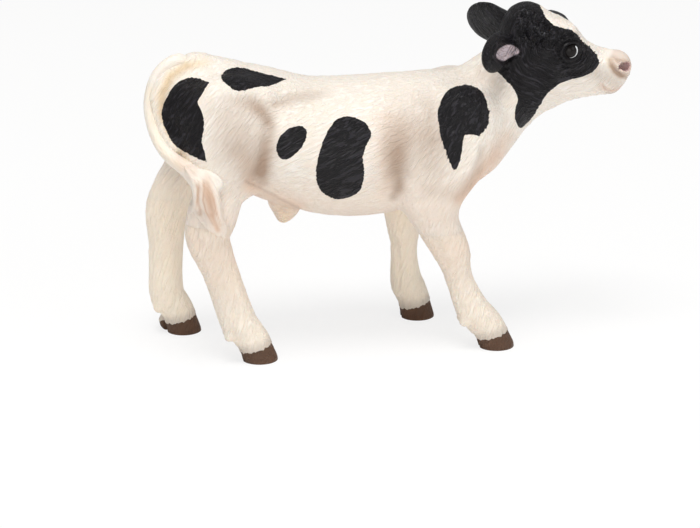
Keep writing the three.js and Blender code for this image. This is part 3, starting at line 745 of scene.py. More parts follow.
BRIDGE_FOLDS = [
    ([(576, 27), (590, 38), (602, 46), (613, 50), (622, 51)], [6, 9, 9, 8, 5],
     [-0.1, -0.7, -0.85, -0.6, -0.2]),
]
EAR_FOLDS = [
    ([(489, 60), (487.5, 53), (491, 45), (498, 38.5), (506, 35.5), (513, 36)], 1.8, 0.3),
    ([(493, 60), (492, 53), (496, 46), (503, 41.5), (512, 40)], 2.2, -0.25),
]
TUFT_FOLDS = [
    ([(198, 188), (198, 200), (199, 212), (204, 221)], 1.7, -0.15),
    ([(206, 184), (208, 196), (210, 208), (214, 220), (220, 231)], 2.2, -0.18),
]
LEG_FOLDS = {
    "right_hind_leg": [
        ([(198, 206), (195, 224), (197, 238), (203, 254)], 3, -0.22),
        ([(190, 222), (189, 240), (194, 252)], 3, 0.18),
        ([(214, 262), (222, 286), (232, 312)], 4, -0.16),
        ([(226, 250), (236, 280), (248, 312)], 4, 0.12),
    ],
    "right_fore_leg": [
        ([(433, 238), (441, 250), (446, 262)], 4, -0.16),
        ([(452, 236), (462, 244), (468, 254)], 5, 0.16),
        ([(455, 262), (466, 288), (474, 312)], 4, -0.14),
    ],
    "left_hind_leg": [
        ([(172, 226), (178, 246), (180, 262), (178, 290)], 4, -0.16),
        ([(158, 222), (160, 250), (158, 285)], 4, 0.14),
    ],
    "left_fore_leg": [
        ([(396, 244), (399, 262), (398, 290)], 3, -0.18),
        ([(410, 250), (412, 280)], 5, 0.12),
    ],
}

# Airbrushed tints and painted shade: a line, half its width in pixels, and how strong it is
# Brown painted shade: darker in the folds and creases of rump, hip, flank, girth, brisket, belly
# and mouth, over the thigh and the side, and under the muzzle; painted shadow of the ear on the
# neck and of the rim round the nostril
BROWN_SHADE = [
    ([(188, 67), (172, 78), (164, 94), (163, 114), (170, 134)], 4, [0.25, 0.38, 0.38, 0.3, 0.2]),
    ([(234, 103), (251, 103), (261, 110), (268, 120), (272, 126)], [8, 8, 8, 7, 5],
     [0.15, 0.5, 0.75, 0.7, 0.3]),
    ([(269, 126), (268, 140), (265, 158), (262, 172), (263, 182)], [7, 9, 9, 9, 6],
     [0.35, 0.6, 0.75, 0.8, 0.5]),
    ([(246, 118), (244, 145), (248, 172)], [20, 22, 17], [0.3, 0.5, 0.45]),
    ([(222, 115), (226, 150)], 16, 0.22),
    ([(276, 105), (290, 99), (308, 96), (326, 92)], [6, 7, 7, 5], [0.55, 0.5, 0.4, 0.15]),
    ([(403, 104), (399, 130), (397, 155), (397, 172), (399, 187)], [18, 17, 16, 13, 8],
     [0.2, 0.6, 0.85, 0.85, 0.6]),
    ([(400, 172), (399, 186), (393, 197)], [3, 4, 4.5], [0.0, 0.2, 0.5]),
    ([(430, 108), (433, 140), (432, 165)], [18, 22, 18], [0.35, 0.6, 0.4]),
    ([(483, 150), (480, 168), (471, 183), (458, 198)], 4.5, [0.2, 0.4, 0.4, 0.3]),
    ([(425, 190), (447, 194)], 8, 0.25),
    ([(450, 80), (470, 74), (492, 70)], 9, 0.16),
    ([(246, 181.5), (262, 189.5), (282, 200), (300, 209)], 1.2, 0.35),
    ([(486, 78), (503, 90)], 10, 0.3),
    ([(610, 60), (611.4, 65.5), (615, 71), (620, 75), (627, 77)], 2.9,
     [0.45, 0.9, 1, 1, 0.6]),
    ([(613, 57), (618, 60), (624, 61), (631, 64)], 2.6, [0.3, 0.6, 0.6, 0.45]),
    ([(590, 72), (604, 78), (616, 82)], 9, 0.3),
    ([(606, 92.5), (611, 93.4), (616, 92.6)], 1, 0.5),
]
# Peach: a pink tint that is partly painted shade, along the creases of brisket, girth, flank,
# belly and mouth
PEACH_SHADE = [
    ([(506, 138), (494, 156), (478, 180), (462, 198)], 9, [0.4, 0.75, 0.7, 0.5]),
    ([(388, 120), (386, 150), (388, 185)], 12, 0.3),
    ([(246, 160), (252, 184)], 9, 0.3),
    ([(250, 186), (300, 210)], 9, 0.3),
    ([(600, 86), (612, 91), (620, 88)], 3, 0.3),
]
# Painted shade between the strands of the tuft and at its root
TUFT_SHADE = [
    ([(180, 160), (192, 172)], 7, 0.3),
    ([(206, 180), (207, 188), (209, 198), (212, 212)], 4.6, [0.4, 0.9, 1, 0.6]),
    ([(199, 182), (198.5, 190), (198, 202), (201, 214)], 1.6, [0.3, 0.6, 0.6, 0.4]),
    ([(212, 216), (218, 230)], 2.4, 0.6),
    ([(193.5, 178), (197.5, 188), (197.5, 198), (196, 209)], 0.8, [0.2, 0.6, 0.6, 0.3]),
    ([(203, 180), (204, 190), (203, 200), (206, 212), (213, 225)], 0.8, [0.2, 0.6, 0.7, 0.6, 0.3]),
    ([(211, 190), (214, 201), (216, 212), (221, 226)], 0.8, [0.2, 0.6, 0.6, 0.3]),
]
LOW_PEACH = (8, 20, 26, 38)  # rise and fall with height, in millimetres
STRAW_SHADE = [
    ([(206, 62), (186, 66), (171, 76), (162, 94), (161, 114), (170, 136), (186, 158)],
     [5, 5, 5, 5, 4, 4, 4], [0.4, 0.9, 0.95, 0.85, 0.7, 0.5, 0.3]),
    ([(150, 90), (152, 120), (162, 150), (180, 168)], 5, 0.25),
    ([(284, 212), (286, 222)], 7, 0.55),
    ([(609, 60), (610, 66)], 3, 0.3),
]


def stretches(points, line):
    """For each stretch of a line, the share of it nearest to each point, and the way there"""
    corners = np.array(line, dtype=float)
    for a, b in zip(corners, corners[1:]):
        edge, offset = b - a, points - a
        t = np.clip(offset @ edge / (edge @ edge), 0, 1)
        yield t, offset - t[:, None] * edge


def line_distance(points, line):
    return np.min([np.linalg.norm(way, axis=1) for _, way in stretches(points, line)], axis=0)


def outline_distance(points, outline):
    """Distance to a closed outline, below zero inside it"""
    corners = np.array([*outline, outline[0]], dtype=float)
    nearest = line_distance(points, corners)
    inside = np.zeros(len(points), dtype=bool)
    for a, b in zip(corners, corners[1:]):
        if a[1] != b[1]:
            edge, offset = b - a, points - a
            straddles = (a[1] > points[:, 1]) != (b[1] > points[:, 1])
            inside ^= straddles & (offset[:, 0] < edge[0] * offset[:, 1] / edge[1])
    return np.where(inside, -nearest, nearest)


def rounded(outline, steps=5):
    """A smooth closed curve through the corners of an outline"""
    corners = np.array(outline, dtype=float)
    count = len(corners)
    curve = []
    for i in range(count):
        around = [corners[(i + k) % count] for k in (-1, 0, 1, 2)]
        if not np.array_equal(around[1], around[2]):
            curve += [spline(*around, s / steps) for s in range(steps)]
    return curve


def bands(pixels, table):
    """Sum of soft bands along lines, with one width and strength or one for each corner"""
    result = np.zeros(len(pixels))
    for line, half_width, strength in table:
        widths = np.broadcast_to(half_width, len(line))
        strengths = np.broadcast_to(strength, len(line))
        nearest = np.full(len(pixels), np.inf)
        found = np.zeros(len(pixels))
        for i, (t, way) in enumerate(stretches(pixels, line)):
            away = np.linalg.norm(way, axis=1) / between(widths[i], widths[i + 1], t)
            closer = away < nearest
            nearest = np.where(closer, away, nearest)
            found = np.where(closer, between(strengths[i], strengths[i + 1], t), found)
        result += found * np.exp(-nearest ** 2)
    return result


def smooth_step(values, low, high):
    t = np.clip((values - low) / (high - low), 0, 1)
    return t * t * (3 - 2 * t)


def plateau(values, low, full, fading, gone):
    """Rises from 0 to 1 between low and full, and falls again between fading and gone"""
    return smooth_step(values, low, full) * (1 - smooth_step(values, fading, gone))


def bridge(points):
    """The hollow of the nose's bridge, without a crease along the middle"""
    across = np.sqrt(points[:, 1:2] ** 2 + 1.5) - 1.1
    return bands(seen_at(points * (1, 0, 1) - across * (0, 1, 0) + FRAME_SHIFT), BRIDGE_FOLDS)


def views(points):
    """Pixels of points of the sculpt, and of the same with the left side folded onto the right"""
    seen = seen_at(points + FRAME_SHIFT)
    folded = np.where(points[:, 1:2] > 0, points * (1, -1, 1), points)
    return seen, seen_at(folded + FRAME_SHIFT)


def eye_away(points, wide=1, high=1):
    """How far points are from an eye's middle, seen from the side"""
    x, _, z = EYE_PLACE
    return np.hypot((points[:, 0] - x) / wide, (points[:, 2] - z) / high)


def eye_rings(points):
    """Lids and the skin round an eye"""
    away = eye_away(points, *EYE_STRETCH)
    result = np.zeros(len(points))
    for radius, half_width, rise in EYE_RINGS:
        result += rise * np.exp(-((away - radius) / half_width) ** 2)
    return result * smooth_step(np.abs(points[:, 1]), *EYE_SIDE)


CURL_AREA = [
    (519, 12), (538, 12), (548, 24), (558, 34), (556, 46), (540, 50), (524, 44), (516, 28),
]
CURL_COUNT = 130
CURL_RADIUS = 1.6  # in pixels
CURL_RISES = (-0.2, 0.26, 0.26)  # taken in turn
curl_maker = np.random.default_rng(7)
CURLS = np.stack([
    curl_maker.uniform(518, 556, CURL_COUNT), curl_maker.uniform(14, 50, CURL_COUNT),
], axis=1)


def curls(pixels, points):
    """The short curls on the forehead"""
    result = np.zeros(len(pixels))
    for i, place in enumerate(CURLS):
        away = np.linalg.norm(pixels - place, axis=1) - CURL_RADIUS
        result += CURL_RISES[i % 3] * np.exp(-away ** 2) * np.cos(points[:, 1] + 0.9 * (i % 9))
    return result * smooth_step(-outline_distance(pixels, CURL_AREA), -4, 3)


HOOF_WAVES = [(11, 0.07), (17, 0.08), (26, 0.06), (37, 0.04)]  # round a foot, in millimetres
HOOF_EDGE = 2.75
HOOF_SLOPE = 0.26
HOOF_STEP = 0.14  # how far the hair stands out over the hoof


def hoof_distance(name, points):
    """How far a point lies below the uneven edge of the hoof's paint"""
    x, y = LEG_STATIONS[name][-1][:2]
    angle = np.arctan2(points[:, 1] - y, points[:, 0] - x)
    ragged = sum(size * np.sin(waves * (angle + len(name))) for waves, size in HOOF_WAVES)
    return HOOF_EDGE + HOOF_SLOPE * (points[:, 0] - x) + ragged - points[:, 2]


def above_hoof(name, points):
    """1 on the hairy part of a leg, 0 on its hoof"""
    return smooth_step(-hoof_distance(name, points), -0.15, 0.1)


HAIR_LENGTH = 0.28  # waves of the noise to a millimetre along the hair
HAIR_PITCH = 2.1  # and across it
STROKE_PITCH = 1.1  # of the broad strokes
OWN_STROKE_PITCH = 1.3  # on pieces where the hair follows the form
STROKE_HEIGHT = 0.05
CROWN = (29.5, 56.5)  # the head's hair runs round this place, seen from the side
HAIR_LIES = {"low_hair": 27, "steep_hair": 52, "leg_hair": 72}  # in degrees below the level
LOW_HAIR = (245, 275, 385, 425)  # rise and fall across the photograph, in its pixels
BARREL = (-27, -23, -4, 0)  # and along X between the legs, in millimetres
LEG_HAIR_TOP = (24, 33)
# Coordinates and bits mixed in the lattice noise
LATTICE_STEPS = (73856093, 19349663, 83492791)
LATTICE_MIX = 1274126177
LATTICE_LEVELS = 65535


def has_own_lie(name):
    """Whether the hair of a piece follows its form"""
    return name in ("head", "tail") or name.endswith("_ear")


def patchwork(places):
    """Smooth noise from -1 to 1 over a lattice, one wave or so to a unit"""
    cell = np.floor(places)
    share = places - cell
    share = share * share * (3 - 2 * share)
    cell = cell.astype(np.int64)
    result = np.zeros(len(places))
    for corner in np.indices((2, 2, 2)).reshape(3, -1).T:
        x, y, z = ((cell + corner) * LATTICE_STEPS).T
        mixed = x ^ y ^ z
        mixed = (mixed ^ (mixed >> 13)) * LATTICE_MIX
        weight = np.where(corner == 1, share, 1 - share).prod(1)
        result += weight * ((mixed & LATTICE_LEVELS) / (LATTICE_LEVELS / 2) - 1)
    return result


def strokes(name, points):
    """Broad strokes of the moulded hair, along its lie"""
    if has_own_lie(name):
        scale = (HAIR_LENGTH, OWN_STROKE_PITCH, OWN_STROKE_PITCH)
        return patchwork(hair_lay(name, points) * scale) * (1 - calm_places(name, points))
    result = np.zeros(len(points))
    for share, angle in zip(hair_regions(points), HAIR_LIES.values()):
        turn = math.radians(angle)
        along = points[:, 0] * math.cos(turn) + points[:, 2] * math.sin(turn)
        across = points[:, 2] * math.cos(turn) - points[:, 0] * math.sin(turn)
        lay = np.stack([along, points[:, 1], across], axis=1)
        result += share * patchwork(lay * (HAIR_LENGTH, STROKE_PITCH, STROKE_PITCH))
    return result


def hair_regions(points):
    """Shares of the three lies of hair on torso and legs: low, steep and along the limb"""
    _, folded = views(points)
    flank = plateau(folded[:, 0], *LOW_HAIR)
    limb = 1 - plateau(points[:, 0], *BARREL)
    limb = limb * (1 - smooth_step(points[:, 2], *LEG_HAIR_TOP))
    return flank * (1 - limb), (1 - flank) * (1 - limb), limb


def calm_places(name, points):
    """Where the hair lies flat: on the tail partly, on the nose and round the eyes"""
    if name != "head":
        return np.full(len(points), 0.5 if name == "tail" else 0.0)
    _, folded = views(points)
    nose = smooth_step(-outline_distance(folded, rounded(NOSE_PAD)), -14, 0)
    return np.maximum(nose, smooth_step(-eye_away(points), -3, -1.6))


def relief(name, points):
    """How far the skin stands out from the plain form, in millimetres"""
    result = forms(name, points)
    hair = STROKE_HEIGHT * strokes(name, points)
    if "leg" in name:
        hair = hair * above_hoof(name, points)
    return result + hair


def forms(name, points):
    """Folds, lids, lips, curls and other forms on the skin, in millimetres"""
    seen, folded = views(points)
    if name == "torso":
        return bands(folded, TORSO_FOLDS)
    if name == "tail":
        return bands(seen, TUFT_FOLDS)
    if name == "head":
        rim = 0.08 * np.exp(-((nostril_distance(points) - 0.4) / 0.3) ** 2)
        lining = outline_distance(ear_pixels(points), rounded(EAR_LINING))
        shell = 0.3 * (np.exp(-((lining - 4.5) / 2.2) ** 2) - smooth_step(-lining, -2.5, 2))
        folds = bands(folded, HEAD_FOLDS) + curls(folded, points)
        folds = folds * smooth_step(np.abs(points[:, 1]), 0, 1.4)
        return folds + bridge(points) + eye_rings(points) + rim + shell
    if name.endswith("_ear"):
        front = smooth_step(ear_places(points, name)[:, 1], -0.2, 0.3)
        return bands(ear_pixels(points), EAR_FOLDS) * front
    return bands(seen, LEG_FOLDS[name]) + HOOF_STEP * (above_hoof(name, points) - 1)


def black_paint(name, points):
    """How far inside the black paint a point lies, in millimetres"""
    if name.endswith("_ear"):
        return np.full(len(points), 9.0)
    if name == "tail":
        return np.full(len(points), -9.0)
    seen, folded = views(points)
    result = outline_distance(folded, rounded(HEAD_PATCH)) * PIXEL
    if "leg" not in name:
        right = [outline_distance(seen, rounded(outline)) for outline in RIGHT_PATCHES]
        flat = points[:, [0, 2]]
        left = [outline_distance(flat, rounded(outline)) for outline in LEFT_PATCHES]
        near = np.where(points[:, 1] < 0, np.min(right, axis=0) * PIXEL, np.min(left, axis=0))
        result = np.minimum(result, near)
    if name == "head":
        brow = outline_distance(folded, rounded(FAR_BROW)) * PIXEL
        result = np.minimum(result, np.maximum(brow, 0.6 - points[:, 1]))
    return -result


def tail_lay(points):
    """Along the tail, out of its bend and across it"""
    result = np.zeros((len(points), 3))
    nearest = np.full(len(points), np.inf)
    rows = smooth_stations(tail_stations, 10)[:, :3]
    gone = 0
    for (t, way), edge in zip(stretches(points, rows), np.diff(rows, axis=0)):
        length = np.linalg.norm(edge)
        away = np.linalg.norm(way, axis=1)
        closer = away < nearest
        nearest = np.where(closer, away, nearest)
        out = np.cross(edge, (0, 1, 0)) / length
        found = np.stack([gone + t * length, way @ out, way[:, 1]], axis=1)
        result = np.where(closer[:, None], found, result)
        gone += length
    return result


def hair_lay(name, points):
    """Along and across the hair, in millimetres, where it follows the form"""
    if name.endswith("_ear"):
        along, out, across = ear_places(points, name).T
        return np.stack([along, across - 0.06 * along ** 2, out], axis=1)
    if name == "tail":
        return tail_lay(points)
    x, z = CROWN
    dx, dz = points[:, 0] - x, points[:, 2] - z
    angle = np.arctan2(-dx - 0.4 * dz, -dz + 0.4 * dx)
    across = np.hypot(dx, dz) + 0.25 * np.sin(angle * 9)
    return np.stack([np.abs(angle) * 6, across, points[:, 1]], axis=1)


def ear_lining(points):
    """The pink lining of an ear, with fine dark lines"""
    pixels = ear_pixels(points)
    pink = smooth_step(-outline_distance(pixels, rounded(EAR_LINING)), -0.5, 0.5)
    for line in EAR_LINES:
        pink = pink * (1 - 0.7 * np.exp(-(line_distance(pixels, line) / 0.45) ** 2))
    return pink


def shades(name, points):
    """Strengths of the brown painted shade, the peach tint that is partly painted shade, and the
    straw tint
    """
    seen, folded = views(points)
    low = 0.25 * plateau(points[:, 2], *LOW_PEACH)
    none = np.zeros(len(points))
    if name.endswith("_ear"):
        return none, none, none
    if "leg" in name:
        return none, low, none + 0.16
    if name == "tail":
        tuft = bands(seen, TUFT_SHADE)
        return 0.45 * tuft, tuft + low, bands(seen, STRAW_SHADE)
    straw = bands(folded, STRAW_SHADE)
    if name == "torso":
        straw = straw * (1 - smooth_step(points[:, 1], 0.5, 3))
    return bands(folded, BROWN_SHADE), bands(folded, PEACH_SHADE) + low, straw


def edge_rag(name, points):
    """How uneven the edges of the black paint are"""
    seen, folded = views(points)
    if name == "head":
        return 0.1 + 0.14 * np.exp(-(line_distance(folded, DRY_EDGE) / 6) ** 2)
    if name == "torso":
        away = np.min([line_distance(seen, line) for line in DASHED_EDGES], axis=0)
        return 0.1 + 0.2 * np.exp(-(away / 5) ** 2)
    return np.full(len(points), 0.1)


def paint(mesh, name, points):
    """Notes of where each paint and each lie of the hair is"""
    _, folded = views(points)
    own = has_own_lie(name)
    calm = calm_places(name, points)
    # Brown is painted shade and shadow; peach is a pink tint that is partly painted shade
    brown, peach, straw = (np.clip(shade, 0, 1) for shade in shades(name, points))
    # Painted light: the lower part of the left side, which the body shades from the lamps, is
    # lightened
    pale = smooth_step(points[:, 1], 1, 5) * (1 - smooth_step(points[:, 2], 24, 36))
    notes = {
        "black": black_paint(name, points), "own_hair": (1 - calm) * own, "calm": calm,
        "brown": brown, "peach": peach, "straw": straw, "pale": pale * (1 - 0.3 * peach),
        "rag": edge_rag(name, points), "hoof": np.full(len(points), -9.0),
    }
    for layer, share in zip(HAIR_LIES, hair_regions(points)):
        notes[layer] = share * (not own)
    if "leg" in name:
        notes["hoof"] = hoof_distance(name, points)
    if name == "head":
        pad = outline_distance(folded, rounded(NOSE_PAD))
        notes["nose"] = smooth_step(-pad, -2.5, 2.5)
        notes["nostril"] = smooth_step(-nostril_distance(points), -0.35, 0.05)
        # A darker line along the groove of the mouth: painted shade
        notes["lips"] = np.exp(-line_distance(folded, LIPS) ** 2)
        notes["curl"] = smooth_step(-outline_distance(folded, CURL_AREA), -4, 4)
        notes["lining"] = ear_lining(points)
    if name.endswith("_ear"):
        front = smooth_step(ear_places(points, name)[:, 1], -0.1, 0.1)
        notes["lining"] = front * ear_lining(points)
    for layer, values in notes.items():
        note(mesh, layer, values)
    note_places(mesh, "lay", hair_lay(name, points))


# Materials
def colour(text):
    """Linear colour of a screen colour written as six digits"""
    levels = [int(text[i:i + 2], 16) / 255 for i in (0, 2, 4)]
    return (*(v / 12.92 if v <= 0.04045 else ((v + 0.055) / 1.055) ** 2.4 for v in levels), 1)


# Detail, roughness and distortion of the hair's noise and the curls'
STRAND_NOISE = (2.5, 0.6, 0.35)
CURL_NOISE = (2, 0.6, 2.5)
CURL_PITCH = 1500  # waves to a metre
CURL_STRENGTH = 1.6
HAIR_DEPTH = 0.00012  # in metres, for the bump


class Shader:
    """Nodes of one material"""

    def __init__(self, name):
        self.material = bpy.data.materials.new(name)
        self.material.use_nodes = True
        self.tree = self.material.node_tree
        self.tree.nodes.clear()
        self.output = self.tree.nodes.new("ShaderNodeOutputMaterial")

    def add(self, kind, inputs, **settings):
        """A new node's outputs; each of its inputs takes a value or another node's output"""
        node = self.tree.nodes.new("ShaderNode" + kind)
        for name, value in settings.items():
            setattr(node, name, value)
        for name, value in inputs.items():
            if isinstance(value, bpy.types.NodeSocket):
                self.tree.links.new(value, node.inputs[name])
            else:
                node.inputs[name].default_value = value
        return node.outputs

    def show(self, surface):
        self.tree.links.new(surface, self.output.inputs["Surface"])

    def attribute(self, name, output="Fac"):
        return self.add("Attribute", {}, attribute_name=name)[output]

    def place(self, scale, turn=(0, 0, 0), source=None):
        """Place on the object, turned, then multiplied by a scale"""
        if source is None:
            source = self.add("TexCoord", {})["Object"]
        turned = self.add(
            "VectorRotate", {"Vector": source, "Rotation": turn}, rotation_type="EULER_XYZ")
        return self.add(
            "VectorMath", {0: turned["Vector"], 1: scale}, operation="MULTIPLY")["Vector"]

    def noise(self, vector, detail=2, roughness=0.5, distortion=0):
        return self.add("TexNoise", {
            "Vector": vector, "Scale": 1, "Detail": detail, "Roughness": roughness,
            "Distortion": distortion,
        })["Fac"]

    def cloud(self, pitch, detail=3):
        """Soft noise with so many waves to a metre"""
        return self.noise(self.place((pitch, pitch, pitch)), detail)

    def sum(self, operation, *values):
        return self.add("Math", dict(enumerate(values)), operation=operation)["Value"]

    def ramp(self, value, low, high):
        """Rises smoothly from 0 to 1 as a value goes from low to high"""
        inputs = {"Value": value, "From Min": low, "From Max": high}
        return self.add("MapRange", inputs, interpolation_type="SMOOTHSTEP")["Result"]

    def mix(self, share, first, second):
        return self.add("Mix", {"Factor": share, 6: first, 7: second}, data_type="RGBA")[2]

    def tinted(self, under, share, most, tint):
        """A colour under a tint, where a share of 1 gives the tint its greatest strength"""
        return self.mix(self.sum("MULTIPLY", share, most), under, tint)


def hair_height(shader):
    """Height of the moulded hair, about 0.5 on flat places: strands in each lie, and curls"""
    along, across = HAIR_LENGTH / MM, HAIR_PITCH / MM
    lies = {
        name: shader.place((along, across, across), (0, math.radians(angle), 0))
        for name, angle in HAIR_LIES.items()
    }
    lies["own_hair"] = shader.place(
        (HAIR_LENGTH, HAIR_PITCH, HAIR_PITCH), source=shader.attribute("lay", "Vector"))
    height = shader.sum("MULTIPLY", shader.attribute("calm"), 0.5)
    for name, place in lies.items():
        strands = shader.noise(place, *STRAND_NOISE)
        height = shader.sum("MULTIPLY_ADD", strands, shader.attribute(name), height)
    curl = shader.noise(shader.place((CURL_PITCH, CURL_PITCH, CURL_PITCH)), *CURL_NOISE)
    curl = shader.sum("MULTIPLY", shader.sum("SUBTRACT", curl, 0.5), shader.attribute("curl"))
    return shader.sum("MULTIPLY_ADD", curl, CURL_STRENGTH, height)


def cream_paint(shader, height, cloud):
    """Cream with painted shade in the valleys between the hairs and a painted highlight on their
    crests, and every airbrushed tint and painted shade over it
    """
    cream = shader.mix(cloud, colour("f4ede4"), colour("eee4d8"))
    # Painted shade in the valleys between the hairs, and a painted highlight on their crests
    cream = shader.tinted(cream, shader.ramp(height, 0.48, 0.34), 0.26, colour("dccab6"))
    cream = shader.tinted(cream, shader.ramp(height, 0.52, 0.68), 0.4, colour("fbf8f2"))
    nose = shader.mix(cloud, colour("e4d4c8"), colour("d6c0b1"))
    cream = shader.tinted(cream, shader.attribute("nose"), 0.8, nose)
    blotch = shader.sum("MULTIPLY_ADD", shader.cloud(160), 0.7, 0.65)
    # Straw tint; peach, a pink tint that is partly painted shade; brown painted shade and shadow
    for name, tint in (("straw", "ecd3ab"), ("peach", "e6c3aa"), ("brown", "ab927f")):
        cream = shader.tinted(cream, shader.attribute(name), blotch, colour(tint))
    fringe = shader.ramp(shader.attribute("hoof"), -2.2, -0.3)
    # Painted light on the lower left side, where the body shades the legs
    cream = shader.tinted(cream, shader.attribute("pale"), 0.7, colour("fdf0dd"))
    cream = shader.tinted(cream, fringe, 0.75, colour("c6bbb0"))
    # Painted shade along the groove of the mouth
    cream = shader.tinted(cream, shader.attribute("lips"), 0.45, colour("c9a08f"))
    return shader.mix(shader.attribute("nostril"), cream, colour("c2a2a0"))


def black_share(shader, height):
    """1 inside the black patches, whose edges follow the strands"""
    edge = shader.sum("SUBTRACT", height, 0.5)
    rag = shader.sum("MULTIPLY", shader.attribute("rag"), 5)
    inside = shader.sum("ADD", shader.attribute("black"), shader.sum("MULTIPLY", edge, rag))
    return shader.ramp(inside, -0.035, 0.035)


def coat_material():
    """Cream vinyl with moulded hair, its black patches, brown hooves and painted details"""
    shader = Shader("coat")
    height = hair_height(shader)
    is_black = black_share(shader, height)
    is_hoof = shader.ramp(shader.attribute("hoof"), -0.06, 0.06)
    cloud = shader.cloud(90)
    hoof_cloud = shader.noise(shader.place((300, 300, 900)), 3)
    hoof = shader.mix(hoof_cloud, colour("62442f"), colour("4c3423"))
    # Black paint, lighter grey on the crests of the hairs: a painted highlight
    dark = shader.mix(shader.ramp(height, 0.53, 0.62), colour("121013"), colour("29272c"))
    lining = shader.mix(cloud, colour("d2c3c8"), colour("bfafb5"))
    dark = shader.mix(shader.attribute("lining"), dark, lining)
    tint = shader.mix(is_hoof, cream_paint(shader, height, cloud), hoof)
    lift = shader.sum("MULTIPLY_ADD", is_black, 1.1, 1)
    lift = shader.sum("MULTIPLY", shader.ramp(height, 0.36, 0.64), lift)
    shader.show(shader.add("BsdfPrincipled", {
        "Base Color": shader.mix(is_black, tint, dark),
        "Roughness": shader.sum("MULTIPLY_ADD", is_black, -0.1, 0.5),
        "Specular IOR Level": shader.sum("MULTIPLY_ADD", is_black, -0.18, 0.42),
        "Subsurface Weight": 0.15,
        "Subsurface Radius": (0.0018, 0.0011, 0.0007),
        "Subsurface Scale": 1,
        "Normal": shader.add("Bump", {"Height": lift, "Distance": HAIR_DEPTH})["Normal"],
    })["BSDF"])
    return shader.material


def eye_material():
    """Glossy dark eye with a painted pale crescent"""
    shader = Shader("eye_gloss")
    dark = shader.mix(shader.cloud(2500), colour("0d0b0b"), colour("1b1513"))
    is_pale = shader.ramp(shader.attribute("crescent"), 0.35, 0.65)
    shader.show(shader.add("BsdfPrincipled", {
        "Base Color": shader.mix(is_pale, dark, colour("eef0f2")),
        "Roughness": 0.2,
        "Specular IOR Level": 0.2,
    })["BSDF"])
    return shader.material


def note(mesh, name, values):
    mesh.attributes.new(name, "FLOAT", "POINT").data.foreach_set("value", values)


def note_places(mesh, name, values):
    layer = mesh.attributes.new(name, "FLOAT_VECTOR", "POINT")
    layer.data.foreach_set("vector", np.ascontiguousarray(values).ravel())


def placed(name, data):
    """A new object in the scene"""
    result = bpy.data.objects.new(name, data)
    bpy.context.scene.collection.objects.link(result)
    return result


def dress(name, mesh, node, material):
    piece = placed(name, mesh)
    mesh.materials.append(material)
    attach(piece, "root")
    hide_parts(node)


# Pieces
def quad_normals(points, quads):
    """Normals of points, from the quads round them"""
    corners = points[quads]
    normals = np.cross(corners[:, 2] - corners[:, 0], corners[:, 3] - corners[:, 1])
    sums = np.stack([
        np.bincount(quads.ravel(), weights=np.repeat(normals[:, axis], 4), minlength=len(points))
        for axis in range(3)
    ], axis=1)
    return sums / np.maximum(np.linalg.norm(sums, axis=1), 1e-12)[:, None]


def cut_off(edit, point, normal, within=None):
    """Takes away what lies before a plane, in the whole mesh or in a part of it"""
    faces = [f for f in edit.faces if within is None or within(f.calc_center_median())]
    # Kept in order, so that every run numbers the cut's points alike
    edges = dict.fromkeys(edge for face in faces for edge in face.edges)
    corners = dict.fromkeys(corner for face in faces for corner in face.verts)
    bmesh.ops.bisect_plane(
        edit, geom=[*corners, *edges, *faces], dist=1e-8,
        plane_co=(np.array(point) + FRAME_SHIFT) * MM, plane_no=normal, clear_outer=True)


def carved(name, field, low, high, cell, cuts=()):
    """A mesh of a field's skin with its relief, cut and closed along planes"""
    points, quads = skin(field, low, high, cell, 3)
    points = points + facing(field, points) * relief(name, points)[:, None]
    mesh = quad_mesh(name + "_skin", points, quads)
    note_places(mesh, "outward", quad_normals(points, quads))
    paint(mesh, name, points)
    edit = bmesh.new()
    edit.from_mesh(mesh)
    for cut in cuts:
        cut_off(edit, *cut)
    for face in edit.faces:
        face.smooth = True
    rim = [edge for edge in edit.edges if edge.is_boundary]
    if rim:
        for face in bmesh.ops.holes_fill(edit, edges=rim, sides=0)["faces"]:
            face.smooth = False
    edit.to_mesh(mesh)
    edit.free()
    shade(mesh)
    return mesh


def shade(mesh):
    """Normals of the corners, from the skin and not from the cut mesh, so that seams don't show"""
    outward = np.empty(3 * len(mesh.vertices))
    mesh.attributes["outward"].data.foreach_get("vector", outward)
    used = np.empty(len(mesh.loops), dtype=int)
    mesh.loops.foreach_get("vertex_index", used)
    normals = outward.reshape(-1, 3)[used]
    for polygon in mesh.polygons:
        if not polygon.use_smooth:
            for loop in polygon.loop_indices:
                normals[loop] = polygon.normal
    mesh.normals_split_custom_set(normals.tolist())


seam_normal = np.array([math.cos(NECK_SEAM_TILT), 0, math.sin(NECK_SEAM_TILT)])
seam_point = np.array([
    between(NECK_ROOT[0], NECK_TOP[0], NECK_SEAM_SHARE), 0,
    between(NECK_ROOT[1], NECK_TOP[1], NECK_SEAM_SHARE),
])
DOWN, UPWARD = (0, 0, -1), (0, 0, 1)
hind_seam, fore_seam = ((0, 0, SEAM_HEIGHTS[pair]) for pair in ("hind", "fore"))
body_cell, leg_cell, head_cell = ((0.33, 0.26, 0.2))
# Low and high corners of a box round each piece; a leg's has its reach along X and from the middle
BOXES = {
    "torso": ((-48, -16, 20), (29, 16, 62)),
    "head": ((11, -8, 33), (48, 8, 66)),
    "tail": ((-47, -16, 22), (-24, 5, 58)),
    "left_ear": ((9, 0, 45), (30, 16, 66)),
    "right_ear": ((9, -16, 45), (30, 0, 66)),
}
LEG_REACHES = {"fore": (-5, 25), "hind": (-46, -19)}
LEG_SIDES = (3.4, 15)
BOX_MARGIN = 1.5

